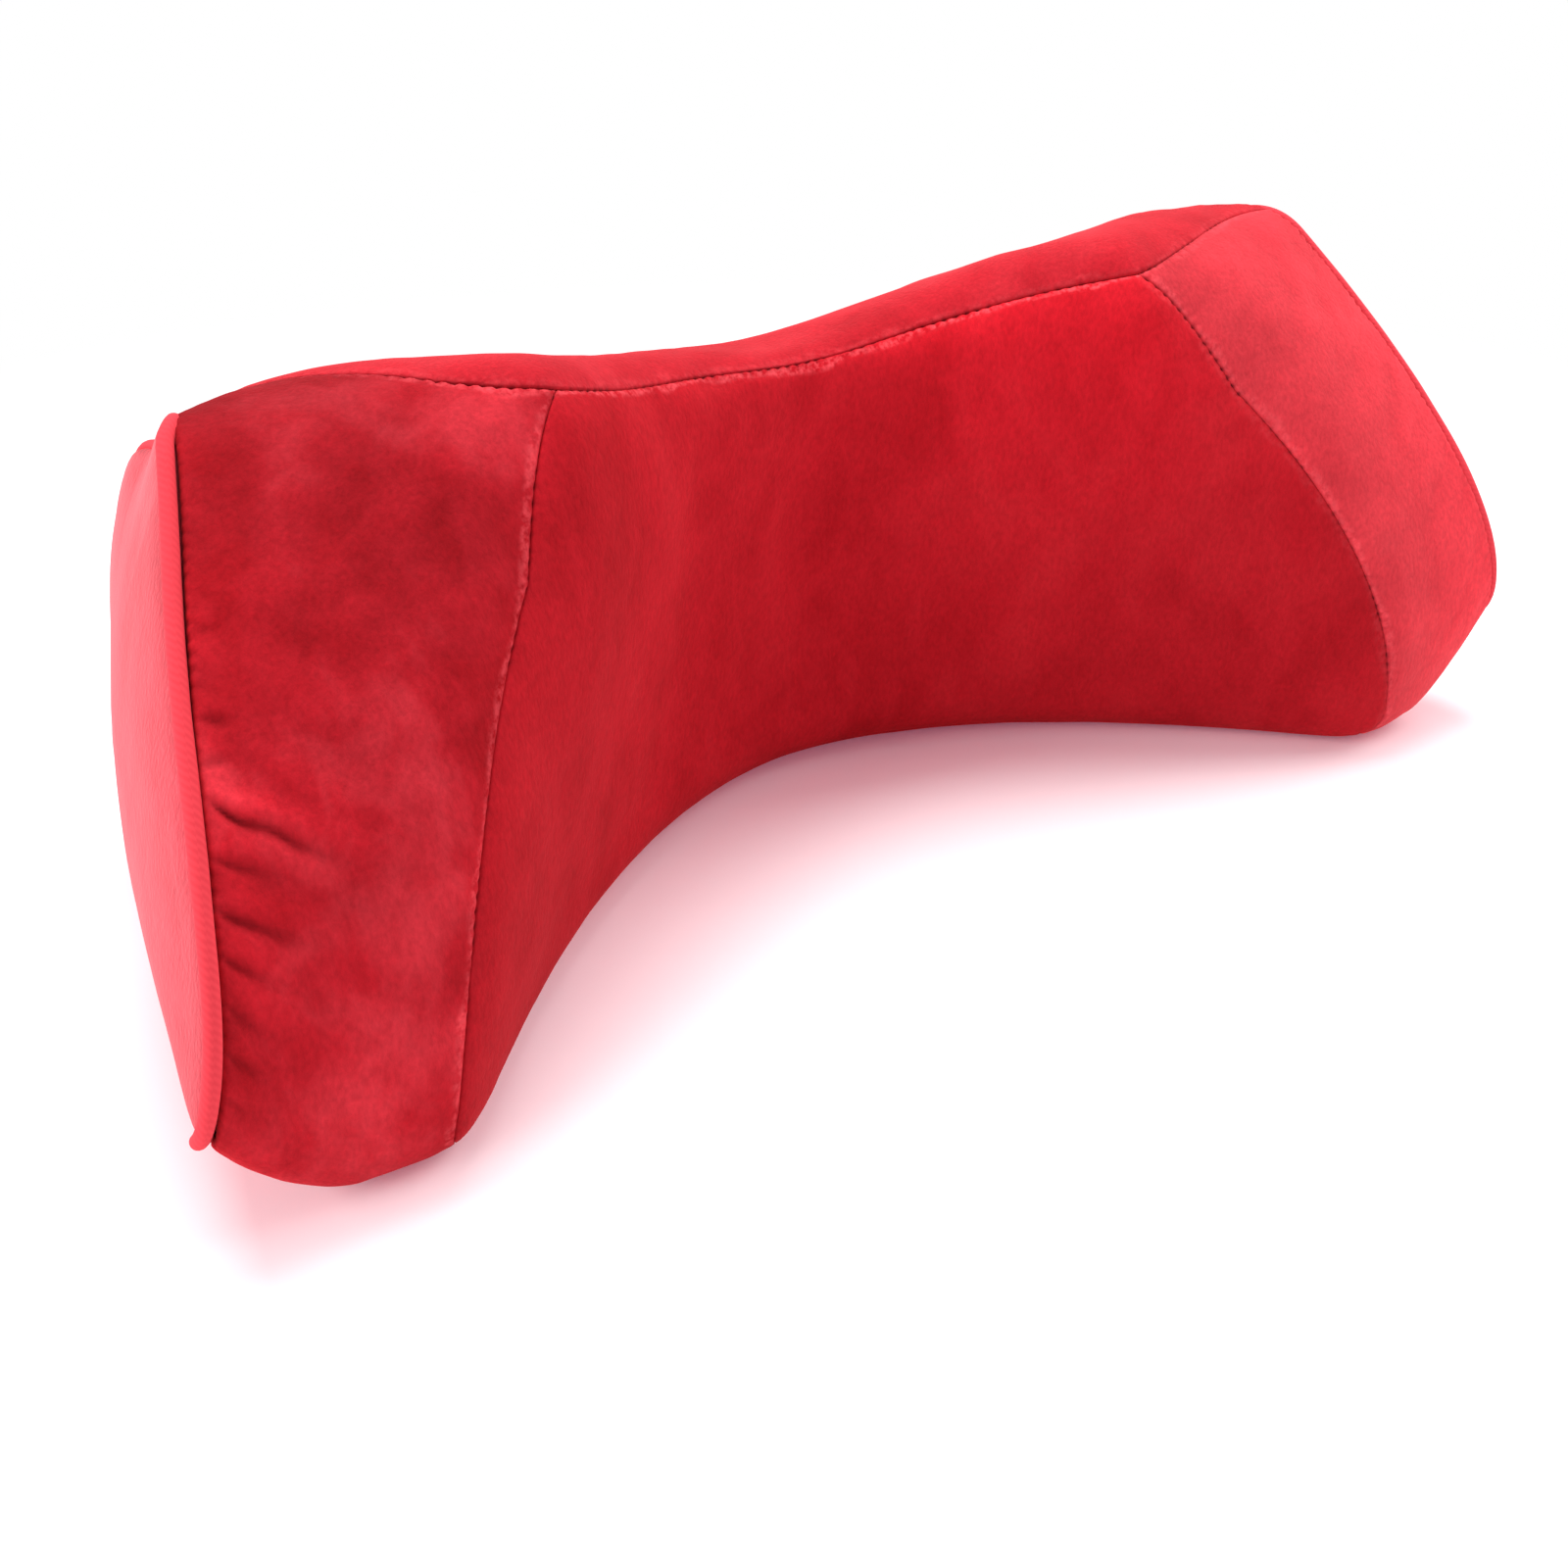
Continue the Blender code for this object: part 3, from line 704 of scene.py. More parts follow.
def stitchGape(s, seed):
    # 0 to 1: sharpened cosine at the stitch pitch, its phase and strength wandering along the seam
    flat = np.zeros_like(s)
    wander = 0.35 * softNoise(s / (9 * mm), flat, seed + 3)
    wave = 0.5 + 0.5 * np.cos(2 * np.pi * (s / seamLook["stitch"] + wander))
    return np.clip(wave**1.5 * (0.75 + 0.6 * softNoise(s / (6 * mm), flat, seed + 5)), 0, 1.3)


def seamHeight(d, s, look, seed):
    # turn, soft pull, puckers and ripples, against the distance d from a seam and the length s along it;
    # also how much painted shade the seam gets there, 0 to 1
    settings = {**seamLook, **look}
    gape = stitchGape(s, seed)
    held = 0.72 + 0.42 * softNoise(s / (11 * mm), np.zeros_like(s), seed + 9)  # it closes up here and there
    wide = (1 + settings["gape"] * (gape - 0.5)) * (held if settings["gape"] > 0.3 else 1)
    turn = rollDown(d, settings["roll"] * wide, settings["dip"] * wide)
    pull = -settings["hollow"] * np.exp(-d / settings["hollowWidth"])
    away = 1 - np.exp(-d / (0.7 * mm))
    pucker = -settings["pucker"] * (2 * gape - 0.8) * away * np.exp(-(d / settings["puckerWidth"]) ** 1.3)
    ripple = softNoise(s / (4.6 * mm), d / (14 * mm), seed) * away * np.exp(-d / settings["rippleWidth"])
    relief = pucker + settings["ripple"] * ripple
    # painted shade in the seam: dark dashes where the stitches gape, a fainter line between them
    dash = settings["line"] + (1 - settings["line"]) * np.clip(1.6 * gape - 0.35, 0, 1)
    shade = np.exp(-(d / settings["lineWidth"]) ** 2) * dash * np.clip(held + 0.4, 0.75, 1)
    return turn + pull + relief, relief, shade


def gatherHeight(d, v):
    # each crease is a valley with a rounded ridge above it; it widens and fades away from the piping
    perMm = np.interp(v, rimTable[0], rimTable[1]) / mm
    total = 0
    for k, crease in enumerate(gathers):
        inwards = d / mm
        line = np.interp(crease["at"] + crease["lean"] * inwards / 10, rimTable[0], rimTable[1]) / mm
        t = perMm - line + 0.5 * softNoise(inwards / 6, np.full_like(inwards, k * 3.7), 40 + k)
        width = crease["width"] * (1 + 0.05 * inwards)
        rise = (inwards / crease["peak"]) ** 2
        fade = np.maximum(inwards - crease["peak"], 0) / crease["length"]
        envelope = (1 - np.exp(-rise)) * np.exp(-fade ** 2)
        valley = -np.exp(-(t / width) ** 2)
        ridge = 0.55 * np.exp(-((t - 2.2 * width) / (1.8 * width)) ** 2)
        below = 0.25 * np.exp(-((t + 2.6 * width) / (2.2 * width)) ** 2)
        total = total + crease["depth"] * mm * envelope * (valley + ridge + below)
    return total


# meshes

def meshObject(name, points, quads, triangles, material, uv=None, attributes=None):
    # quads and triangles as whole arrays of corner numbers
    mesh = bpy.data.meshes.new(name)
    corners = np.concatenate([quads.reshape(-1), triangles.reshape(-1)]).astype(np.int32)
    starts = np.concatenate([np.arange(len(quads)) * 4, len(quads) * 4 + np.arange(len(triangles)) * 3])
    mesh.vertices.add(len(points))
    mesh.vertices.foreach_set("co", np.ascontiguousarray(points, np.float32).reshape(-1))
    mesh.loops.add(len(corners))
    mesh.loops.foreach_set("vertex_index", corners)
    mesh.polygons.add(len(starts))
    mesh.polygons.foreach_set("loop_start", starts.astype(np.int32))
    mesh.update(calc_edges=True)
    if uv is not None:
        layer = mesh.uv_layers.new(name="cloth")
        layer.data.foreach_set("uv", np.ascontiguousarray(uv[corners], np.float32).reshape(-1))
    for key, values in (attributes or {}).items():
        made = mesh.attributes.new(key, "FLOAT", "POINT")
        made.data.foreach_set("value", np.ascontiguousarray(values, np.float32))
    mesh.polygons.foreach_set("use_smooth", np.ones(len(mesh.polygons), bool))
    mesh.validate()
    mesh.materials.append(material)
    made = bpy.data.objects.new(name, mesh)
    scene.collection.objects.link(made)
    return made


def closedSheet(name, outer, inner, material, uv, attributes, skip=3):
    # fine outer grid, inner grid with every third line only, and a rim of triangles between them
    count, rows = outer.shape[:2]
    index = np.arange(count * rows).reshape(count, rows)
    coarse = np.arange(-(-count // skip) * -(-rows // skip)).reshape(-(-count // skip), -1) + count * rows

    def cells(grid):
        return np.stack([grid[:-1, :-1], grid[1:, :-1], grid[1:, 1:], grid[:-1, 1:]], -1).reshape(-1, 4)

    def border(grid):
        return np.concatenate([grid[:-1, 0], grid[-1, :-1], grid[:0:-1, -1], grid[0, :0:-1]])

    above, under = border(index), border(coarse)
    a = above.reshape(-1, skip)
    b, c = a[:, 1], a[:, 2]
    d = np.roll(a[:, 0], -1)
    e, f = under, np.roll(under, -1)
    rim = np.concatenate([np.stack([a[:, 0], e, b], -1), np.stack([b, e, f], -1),
                          np.stack([b, f, c], -1), np.stack([c, f, d], -1)])
    quads = np.concatenate([cells(index), cells(coarse)[:, ::-1]])
    thin = (slice(None, None, skip), slice(None, None, skip))
    points = np.concatenate([outer.reshape(-1, 3), inner[thin].reshape(-1, 3)])
    coords = np.concatenate([uv.reshape(-1, 2), uv[thin].reshape(-1, 2)])
    both = {key: np.concatenate([values.reshape(-1), values[thin].reshape(-1)])
            for key, values in attributes.items()}
    return meshObject(name, points, quads, rim, material, coords, both)


borderSteps = np.array([0, 0.22, 0.5, 0.85, 1.25, 1.75, 2.4]) * mm


def spreadTerms(length, spacing):
    # distances a + b * width: close together by both borders, even between
    near = borderSteps[-1]
    # the whole count is a multiple of three
    inner = max(3, int(round((length - 2 * near) / spacing / 3)) * 3)
    t = np.linspace(0, 1, inner + 1)
    a = np.concatenate([borderSteps[:-1], near * (1 - 2 * t), -borderSteps[:-1][::-1]])
    b = np.concatenate([np.zeros(len(borderSteps) - 1), t, np.ones(len(borderSteps) - 1)])
    return a, b


def panelGrid(cSpan, qSpan, acrossSpacing, alongSpacing, tuck):
    # (c, q) of a grid whose lines lie at set distances from the panel's four borders
    cTable = np.linspace(*cSpan, 41)
    qTable = np.linspace(*qSpan, 321)

    def measured(c, q, axis):
        cMesh, qMesh = np.meshgrid(c, q, indexing="ij")
        vMesh = placeOf(cMesh, qMesh)
        points = coverPoint(shareAt(cMesh, vMesh, tuck), vMesh)
        steps = np.linalg.norm(np.diff(points, axis=axis), axis=-1)
        return np.concatenate([np.zeros_like(steps.take([0], axis)), np.cumsum(steps, axis=axis)], axis=axis)

    lengths = measured(cTable, qTable, 1)
    a, b = spreadTerms(lengths[:, -1].mean(), alongSpacing)
    qLines = np.stack([np.interp(a + b * line[-1], line, qTable) for line in lengths])
    rowQ = qLines.mean(axis=0)
    widths = measured(cTable, rowQ, 0)
    ac, bc = spreadTerms(widths[-1].mean(), acrossSpacing)
    lines = range(len(rowQ))
    c = np.stack([np.interp(ac + bc * widths[-1, k], widths[:, k], cTable) for k in lines], axis=1)
    q = np.stack([np.interp(c[:, k], cTable, qLines[:, k]) for k in lines], axis=1)
    fromLeft = ac[:, None] + bc[:, None] * widths[-1][None, :]
    total = np.interp(c, cTable, lengths[:, -1])
    fromFoot = a[None, :] + b[None, :] * total
    return c, q, {"left": fromLeft, "right": widths[-1][None, :] - fromLeft,
                  "foot": fromFoot, "top": total - fromFoot}


def paintedSheenFringe(d, s, seed):
    # the strip beside a seam where the pile tips stand up, painted pale as their sheen: two smoothsteps, its
    # width wandering
    reach = (2.1 + 0.8 * softNoise(s / (5 * mm), np.zeros_like(s), seed + 17)) * mm
    rise = np.clip((d - 0.20 * mm) / (0.35 * mm), 0, 1)
    fall = np.clip((reach - d) / (0.9 * mm), 0, 1)
    return smooth(rise) * smooth(fall)


def panelHeight(c, v, distance, borders):
    # the seams' heights added up, no deeper than one seam; also their fold heights, painted shade and
    # painted sheen fringe
    total, relief, shade, fringe = 0, 0, 0, 0
    looks = {"quiet": quietSeamLook, "end": pipeSeamLook, "foot": footSeamLook}
    for border, (kind, seed, tips) in borders.items():
        d = distance[border]
        if kind in ("side", "quiet"):
            s = np.interp(v, *sideTable)
        elif kind in ("top", "foot"):
            s = np.interp(shareAt(c, v, (0, 0)), *topTable)
        else:
            s = np.interp(np.mod(v + 0.25, 4) - 0.25, *rimTable)
        height, wrinkle, dark = seamHeight(d, s, looks.get(kind, seamLook), seed)
        total, relief, shade = total + height, relief + wrinkle, np.maximum(shade, dark)
        fringe = np.maximum(fringe, tips * paintedSheenFringe(d, s, seed))
    return np.maximum(total, -clothSheet["deepest"]), relief, shade, fringe


clothSheet = {
    "depth": 3.0 * mm,
    "deepest": 2.5 * mm,  # cap on how far seams may dip
    "puff": 0.6 * mm,
    "puffWidth": 4.0 * mm,
}


def paintedLightMarks(c, q, marks):
    # painted light and shade: 1 plus a Gaussian for each mark (place, size, amount)
    paintedTone = np.ones_like(c)
    for (atC, atQ), (wideC, wideQ), amount in marks:
        paintedTone = paintedTone + amount * np.exp(-((c - atC) / wideC) ** 2 - ((q - atQ) / wideQ) ** 2)
    return paintedTone


def softPanel(name, cSpan, qSpan, spacing, borders, material, marks=(), slack=0.0,
              gathered=False, sole=False):
    c, q, distance = panelGrid(cSpan, qSpan, *spacing, endTuck)
    v = placeOf(c, q)
    u = shareAt(c, v, endTuck)
    normals = coverNormal(u, v)
    surface = coverPoint(u, v) + bodySwell(c, q)
    height, relief, shade, fringe = panelHeight(c, v, distance, borders)
    nearest = np.minimum.reduce([distance[border] for border in borders])
    if gathered:
        folds = gatherHeight(distance["left"], v)
        height, relief = height + folds, relief + folds
    if sole:
        surface[..., 2] = np.maximum(surface[..., 2], 0)
        height = np.minimum(height, 0)
    else:
        height = height + clothSheet["puff"] * (1 - np.exp(-nearest / clothSheet["puffWidth"]))
        loose = (softNoise(distance["left"] / (9 * mm), distance["foot"] / (7 * mm), 31)
                 + 0.5 * softNoise(distance["left"] / (4 * mm), distance["foot"] / (3.4 * mm), 32))
        height = height + slack * mm * loose * (1 - np.exp(-nearest / (5 * mm)))
        relief = relief + slack * mm * loose
    outer = eased(surface + normals * height[..., None])
    inner = eased(coverPoint(u, v) - normals * clothSheet["depth"])
    uv = np.stack([distance["left"], distance["foot"]], -1) * 100  # one unit is 10 mm
    # attributes for the material: fold heights in mm for painted fold shade and highlight, painted seam
    # shade, painted sheen on the fringe, and painted light and shade from the marks
    attributes = {"paintedSheenFringe": fringe, "relief": relief / mm, "paintedSeamShade": shade,
                  "paintedLightAndShade": paintedLightMarks(c, q, marks)}
    return closedSheet(name, outer, inner, material, uv, attributes)


capForm = {
    "around": 480,
    "rings": 48,
    "inset": 2.1 * mm,
    "insetBehind": 0.9 * mm,
    "riseLeft": 1.1 * mm,
    "riseRight": 0.4 * mm,
    "slack": 0.35 * mm,
}


def endCap(name, side, material):
    # rings at set distances from the piping, closed by a fan at the middle
    around = capForm["around"]
    v = np.linspace(0, 4, around + 1)[:-1]
    near = borderSteps / (45 * mm)
    shares = np.concatenate([1 - near, np.linspace(1 - near[-1], 0.02, capForm["rings"])[1:]])
    share, vGrid = np.meshgrid(shares, v, indexing="ij")
    mirror = np.array([side, 1, 1])
    rise = capForm["riseLeft"] if side < 0 else capForm["riseRight"]
    inset = capForm["inset"] + (capForm["insetBehind"] - capForm["inset"]) * behindShare(vGrid) * (side < 0)
    base = endPoint(share, vGrid, inset, -rise)
    points = base + endSwell(share, vGrid, side) * mirror
    rim = np.linalg.norm(points[0] - points[-1].mean(axis=0), axis=-1)
    distance = (1 - share) * rim[None, :]
    s = np.interp(np.mod(vGrid + 0.25, 4) - 0.25, *rimTable)
    height, relief, shade = seamHeight(distance, s, endCapSeam, 70 + side)
    puff = clothSheet["puff"] * (1 - np.exp(-distance / clothSheet["puffWidth"]))
    height = np.maximum(height, -clothSheet["deepest"]) + puff
    slack = softNoise(points[..., 1] / (23 * mm), points[..., 2] / (30 * mm), 81 + side)
    height = height + capForm["slack"] * slack * np.clip(distance / (12 * mm), 0, 1)
    points[..., 0] += height
    inner = base - np.array([clothSheet["depth"], 0, 0])
    inner[0] = points[0] - np.array([0.4 * mm, 0, 0])
    rings = eased(np.concatenate([points[::-1], inner]) * mirror)
    walls, fans = closedRings(len(rings), around)
    walls, fans = walls[:, [0, 3, 2, 1]], fans[:, [0, 2, 1]]  # the rings run inwards here
    if side < 0:
        walls, fans = walls[:, ::-1], fans[:, ::-1]
    everything = withPoles(rings)
    uv = everything[:, 1:] * 100

    def both(values, middle):
        return np.concatenate([values[::-1].reshape(-1), values.reshape(-1), [middle, middle]])

    # painted shade: darker towards the front piping and the top
    paintedTone = (1 - 0.16 * np.exp(-((everything[:, 1] + 62 * mm) / (20 * mm)) ** 2)
            - 0.22 * np.exp(-((everything[:, 2] - 100 * mm) / (22 * mm)) ** 2))
    attributes = {"paintedSheenFringe": np.zeros(len(everything)), "relief": both(relief / mm, 0),
                  "paintedSeamShade": both(shade, 0), "paintedLightAndShade": paintedTone}
    return meshObject(name, everything, walls, fans, material, uv, attributes)


def tube(name, path, across, radius, sides, material):
    # circle carried along a closed path; across is the way outwards at each point
    count = len(path)
    along = unit(np.roll(path, -1, axis=0) - np.roll(path, 1, axis=0))
    outward = unit(across - along * (across * along).sum(-1, keepdims=True))
    third = np.cross(along, outward)
    angle = np.linspace(0, 2 * np.pi, sides + 1)[:-1]
    steps = np.linalg.norm(np.roll(path, -1, axis=0) - path, axis=-1)
    s = np.concatenate([[0], np.cumsum(steps)[:-1]])
    ring = outward[:, None] * np.cos(angle)[:, None] + third[:, None] * np.sin(angle)[:, None]
    points = path[:, None] + ring * radius[:, None, None]
    index = np.arange(count * sides).reshape(count, sides)
    beside, nextRing = np.roll(index, -1, axis=1), np.roll(index, -1, axis=0)
    nextBeside = np.roll(nextRing, -1, axis=1)
    faces = np.stack([index, beside, nextBeside, nextRing], -1).reshape(-1, 4)
    made = meshObject(name, points.reshape(-1, 3), faces, np.zeros((0, 3), int), material)
    layer = made.data.uv_layers.new(name="cloth")
    # the loops run index, beside, beside + 1, next: u round the cord, v along it, in units of 10 mm
    a = np.arange(sides) / sides * 2 * np.pi * radius.mean() * 100
    total = s[-1] + steps[-1]
    sNext = np.append(s[1:], total)
    uvs = np.zeros((count, sides, 4, 2))
    step = a[1] - a[0]
    uvs[..., 0, 0], uvs[..., 1, 0], uvs[..., 2, 0], uvs[..., 3, 0] = a, a + step, a + step, a
    uvs[..., 0, 1] = uvs[..., 1, 1] = (s * 100)[:, None]
    uvs[..., 2, 1] = uvs[..., 3, 1] = (sNext * 100)[:, None]
    layer.data.foreach_set("uv", uvs.astype(np.float32).reshape(-1))
    return made


# materials

velvetLook = {
    "sheenRoughness": 0.38,
    "napSize": 30,  # mm
    "strokeSize": 9,
    "grainSize": 0.8,  # real pile is about 0.15 mm; drawn coarser so that it shows
    "grainHeight": 0.20,  # mm
    "napHeight": 0.25,
}


def shortPileVelvet(name, plain, deep, pale, turn, seed, contrast=1.0, sheen=1.0, tint="#ff8d92"):
    # knitted polyester velvet, sheared short: dark where seen into the pile, pale and silky where seen
    # across it, with strokes where the pile is brushed over
    look = velvetLook
    material, tree = emptyMaterial(name)
    place = addNode(tree, "TexCoord").outputs["Object"]
    turned = addNode(tree, "Mapping", {}, {
        "Vector": place, "Location": (seed, seed * 0.7, 0), "Rotation": turn,
        "Scale": (1.0, 1.0, 0.62)})
    nap = addNode(tree, "TexNoise", {}, {
        "Vector": turned, "Scale": 1000 / look["napSize"], "Detail": 3.0, "Roughness": 0.5,
        "Distortion": 0.9})
    stroke = addNode(tree, "TexNoise", {}, {
        "Vector": turned, "Scale": 1000 / look["strokeSize"], "Detail": 3.0, "Roughness": 0.6,
        "Distortion": 0.5})
    fibres = addNode(tree, "Mapping", {}, {"Vector": place, "Scale": (1.0, 1.0, 0.55)})
    grain = addNode(tree, "TexNoise", {}, {
        "Vector": fibres, "Scale": 1000 / look["grainSize"], "Detail": 2.0, "Roughness": 0.6})
    blend = addNode(tree, "Math", {"operation": "MULTIPLY_ADD"},
                    {0: stroke, 1: 0.60, 2: -0.30})
    nappy = addNode(tree, "Math", {"operation": "ADD"}, {0: nap, 1: blend})
    spread = addNode(tree, "Math", {"operation": "MULTIPLY_ADD"},
                     {0: nappy, 1: contrast, 2: 0.5 - 0.5 * contrast})
    colour = addNode(tree, "ValToRGB", {}, {"Fac": spread})
    rampStops(colour, [(0.30, linearColour(deep)), (0.50, linearColour(plain)), (0.72, linearColour(pale))])
    # painted sheen: the pile tips that stand up along the seams are painted pale, in tufts
    strip = addNode(tree, "Attribute", {"attribute_name": "paintedSheenFringe"}).outputs["Fac"]
    tuft = addNode(tree, "TexNoise", {}, {
        "Vector": place, "Scale": 640, "Detail": 2.0, "Roughness": 0.7})
    tufted = addNode(tree, "MapRange", {}, {
        "Value": tuft, "From Min": 0.38, "From Max": 0.62, "To Min": 0.0, "To Max": 0.80})
    fringe = addNode(tree, "Math", {"operation": "MULTIPLY"}, {0: strip, 1: tufted})
    paintedSheenTips = addNode(tree, "Mix", {"data_type": "RGBA"}, {
        0: fringe, 6: colour, 7: linearColour("#f0545d")})
    # painted shade in the seams and folds, and painted highlight on the folds' ridges
    shade = addNode(tree, "Attribute", {"attribute_name": "paintedSeamShade"}).outputs["Fac"]
    paintedSeamDarkening = addNode(tree, "Math", {"operation": "MULTIPLY_ADD"}, {0: shade, 1: -0.60, 2: 1.0})
    # painted shade in the fold valleys and painted highlight on their ridges, from the fold heights
    relief = addNode(tree, "Attribute", {"attribute_name": "relief"}).outputs["Fac"]
    paintedFoldShadeAndLight = addNode(tree, "MapRange", {}, {
        "Value": relief, "From Min": -1.3, "From Max": 1.3, "To Min": 0.50, "To Max": 1.50})
    fleck = addNode(tree, "MapRange", {}, {
        "Value": grain, "From Min": 0.3, "From Max": 0.7, "To Min": 0.88, "To Max": 1.11})
    # painted light and shade from the marks
    paintedTone = addNode(tree, "Attribute", {"attribute_name": "paintedLightAndShade"}).outputs["Fac"]
    toned = addNode(tree, "Math", {"operation": "MULTIPLY"}, {0: paintedSeamDarkening, 1: paintedTone})
    first = addNode(tree, "Math", {"operation": "MULTIPLY"}, {0: toned, 1: paintedFoldShadeAndLight})
    factor = addNode(tree, "Math", {"operation": "MULTIPLY"}, {0: first, 1: fleck})
    shaded = addNode(tree, "VectorMath", {"operation": "SCALE"}, {
        0: paintedSheenTips.outputs[2], "Scale": factor})
    heights = addNode(tree, "Math", {"operation": "MULTIPLY"}, {0: nappy, 1: look["napHeight"] * mm})
    grainHeight = addNode(tree, "Math", {"operation": "MULTIPLY_ADD"},
                          {0: grain, 1: look["grainHeight"] * mm, 2: heights})
    finishMaterial(tree, shaded, grainHeight, 0.8, {
        "Roughness": 0.95, "Specular IOR Level": 0.10, "Sheen Weight": sheen,
        "Sheen Roughness": look["sheenRoughness"], "Sheen Tint": linearColour(tint)})
    return material


# spacing of the ribs and their height in mm
pipingLook = {"rib": "#e2404b", "grooveWithPaintedShade": "#dc3b46", "twill": 0.95, "ridge": 0.008}


def twillPiping():
    # bias strip of the same pile cloth wound round a cord: its ribs run aslant
    material, tree = emptyMaterial("biasCutPiping")
    uv = addNode(tree, "UVMap", {"uv_map": "cloth"})
    slanted = addNode(tree, "Mapping", {}, {"Vector": uv, "Rotation": (0, 0, math.radians(38))})
    ribs = addNode(tree, "TexWave", {"wave_type": "BANDS", "bands_direction": "Y"}, {
        "Vector": slanted, "Scale": 10 / pipingLook["twill"] / (2 * math.pi) * 2, "Distortion": 0.7,
        "Detail": 1.0, "Detail Scale": 1.5})
    place = addNode(tree, "TexCoord").outputs["Object"]
    grain = addNode(tree, "TexNoise", {}, {"Vector": place, "Scale": 1400, "Detail": 2.0})
    colour = addNode(tree, "ValToRGB", {}, {"Fac": ribs.outputs[1]})
    # the grooves between the ribs a little darker: painted shade
    rampStops(colour, [(0.15, linearColour(pipingLook["grooveWithPaintedShade"])), (0.85, linearColour(pipingLook["rib"]))])
    mix = addNode(tree, "Math", {"operation": "MULTIPLY"}, {0: grain, 1: 0.10 * mm})
    height = addNode(tree, "Math", {"operation": "MULTIPLY_ADD"},
                     {0: ribs.outputs[1], 1: pipingLook["ridge"] * mm, 2: mix})
    finishMaterial(tree, colour, height, 0.8, {
        "Roughness": 0.9, "Specular IOR Level": 0.15, "Sheen Weight": 0.4,
        "Sheen Roughness": 0.4, "Sheen Tint": linearColour("#ff5a62")})
    return material


def wovenElastic():
    # black braided elastic: rubber cores show as fine ribs along it, weft as cross ticks
    material, tree = emptyMaterial("wovenElasticBand")
    uv = addNode(tree, "UVMap", {"uv_map": "cloth"})
    cores = addNode(tree, "TexWave", {"wave_type": "BANDS", "bands_direction": "Y"}, {
        "Vector": uv, "Scale": 2.1, "Distortion": 0.1})
    weft = addNode(tree, "TexWave", {"wave_type": "BANDS", "bands_direction": "X"}, {
        "Vector": uv, "Scale": 3.6, "Distortion": 0.4, "Detail": 1.0})
    both = addNode(tree, "Math", {"operation": "MULTIPLY"}, {0: cores.outputs[1], 1: weft.outputs[1]})
    # lighter where ribs and ticks stand up and darker between them: painted shade
    colour = addNode(tree, "ValToRGB", {}, {"Fac": both})
    rampStops(colour, [(0.0, linearColour("#0a0a0b")), (1.0, linearColour("#232325"))])
    height = addNode(tree, "Math", {"operation": "MULTIPLY"}, {0: both, 1: 0.18 * mm})
    finishMaterial(tree, colour, height, 1.0, {
        "Roughness": 0.75, "Specular IOR Level": 0.25, "Sheen Weight": 0.06, "Sheen Roughness": 0.5})
    return material


def openCellFoam():
    # slow-recovery polyurethane foam: matt cream with fine pores
    material, tree = emptyMaterial("polyurethaneFoam")
    place = addNode(tree, "TexCoord").outputs["Object"]
    pores = addNode(tree, "TexVoronoi", {"feature": "F1"}, {"Vector": place, "Scale": 900})
    # darker in the pore hollows: painted shade
    colour = addNode(tree, "ValToRGB", {}, {"Fac": pores})
    rampStops(colour, [(0.0, linearColour("#cdbf9a")), (0.6, linearColour("#f0e6c8"))])
    height = addNode(tree, "Math", {"operation": "MULTIPLY"}, {0: pores, 1: 0.3 * mm})
    finishMaterial(tree, colour, height, 0.6, {"Roughness": 0.95, "Specular IOR Level": 0.2})
    return material


# the same velvet in five copies: the right wing's and the ends' copies are paler and the left wing's darker,
# painted light and shade for how each panel faces the lamps and the camera; their sheen differs too
neckVelvet = shortPileVelvet(
    "shortPileVelvetNeck", "#bf1724", "#aa0e1a", "#c8202b", (0.2, 0.3, 0.5), 0.0,
    contrast=0.6, sheen=0.25, tint="#ff5058")
leftWingVelvet = shortPileVelvet(
    "shortPileVelvetLeftWingPaintedShade", "#b01824", "#9c0d18", "#c42c37", (0.1, -0.4, 0.3), 0.37,
    contrast=1.0, sheen=0.12, tint="#ff4a52")
rightWingVelvet = shortPileVelvet(
    "shortPileVelvetRightWingPaintedLit", "#ca323c", "#bc2a34", "#d23c45", (0.4, 0.1, -0.5), 1.13,
    contrast=0.5, sheen=0.6, tint="#ff6c73")
backVelvet = shortPileVelvet(
    "shortPileVelvetBack", "#b61c28", "#9f111c", "#c52e38", (0.5, 0.2, -0.3), 0.61,
    contrast=0.5, sheen=0.55, tint="#ff6068")
endVelvetPaintedLit = shortPileVelvet(
    "shortPileVelvetEndsPaintedLit", "#cc404c", "#bc333e", "#d4505a", (0.3, 0.1, 0.2), 0.83,
    contrast=0.8, tint="#ff949b")
pipingCloth = twillPiping()
elasticWeave = wovenElastic()
foam = openCellFoam()
print("materials made")


# the cover's panels

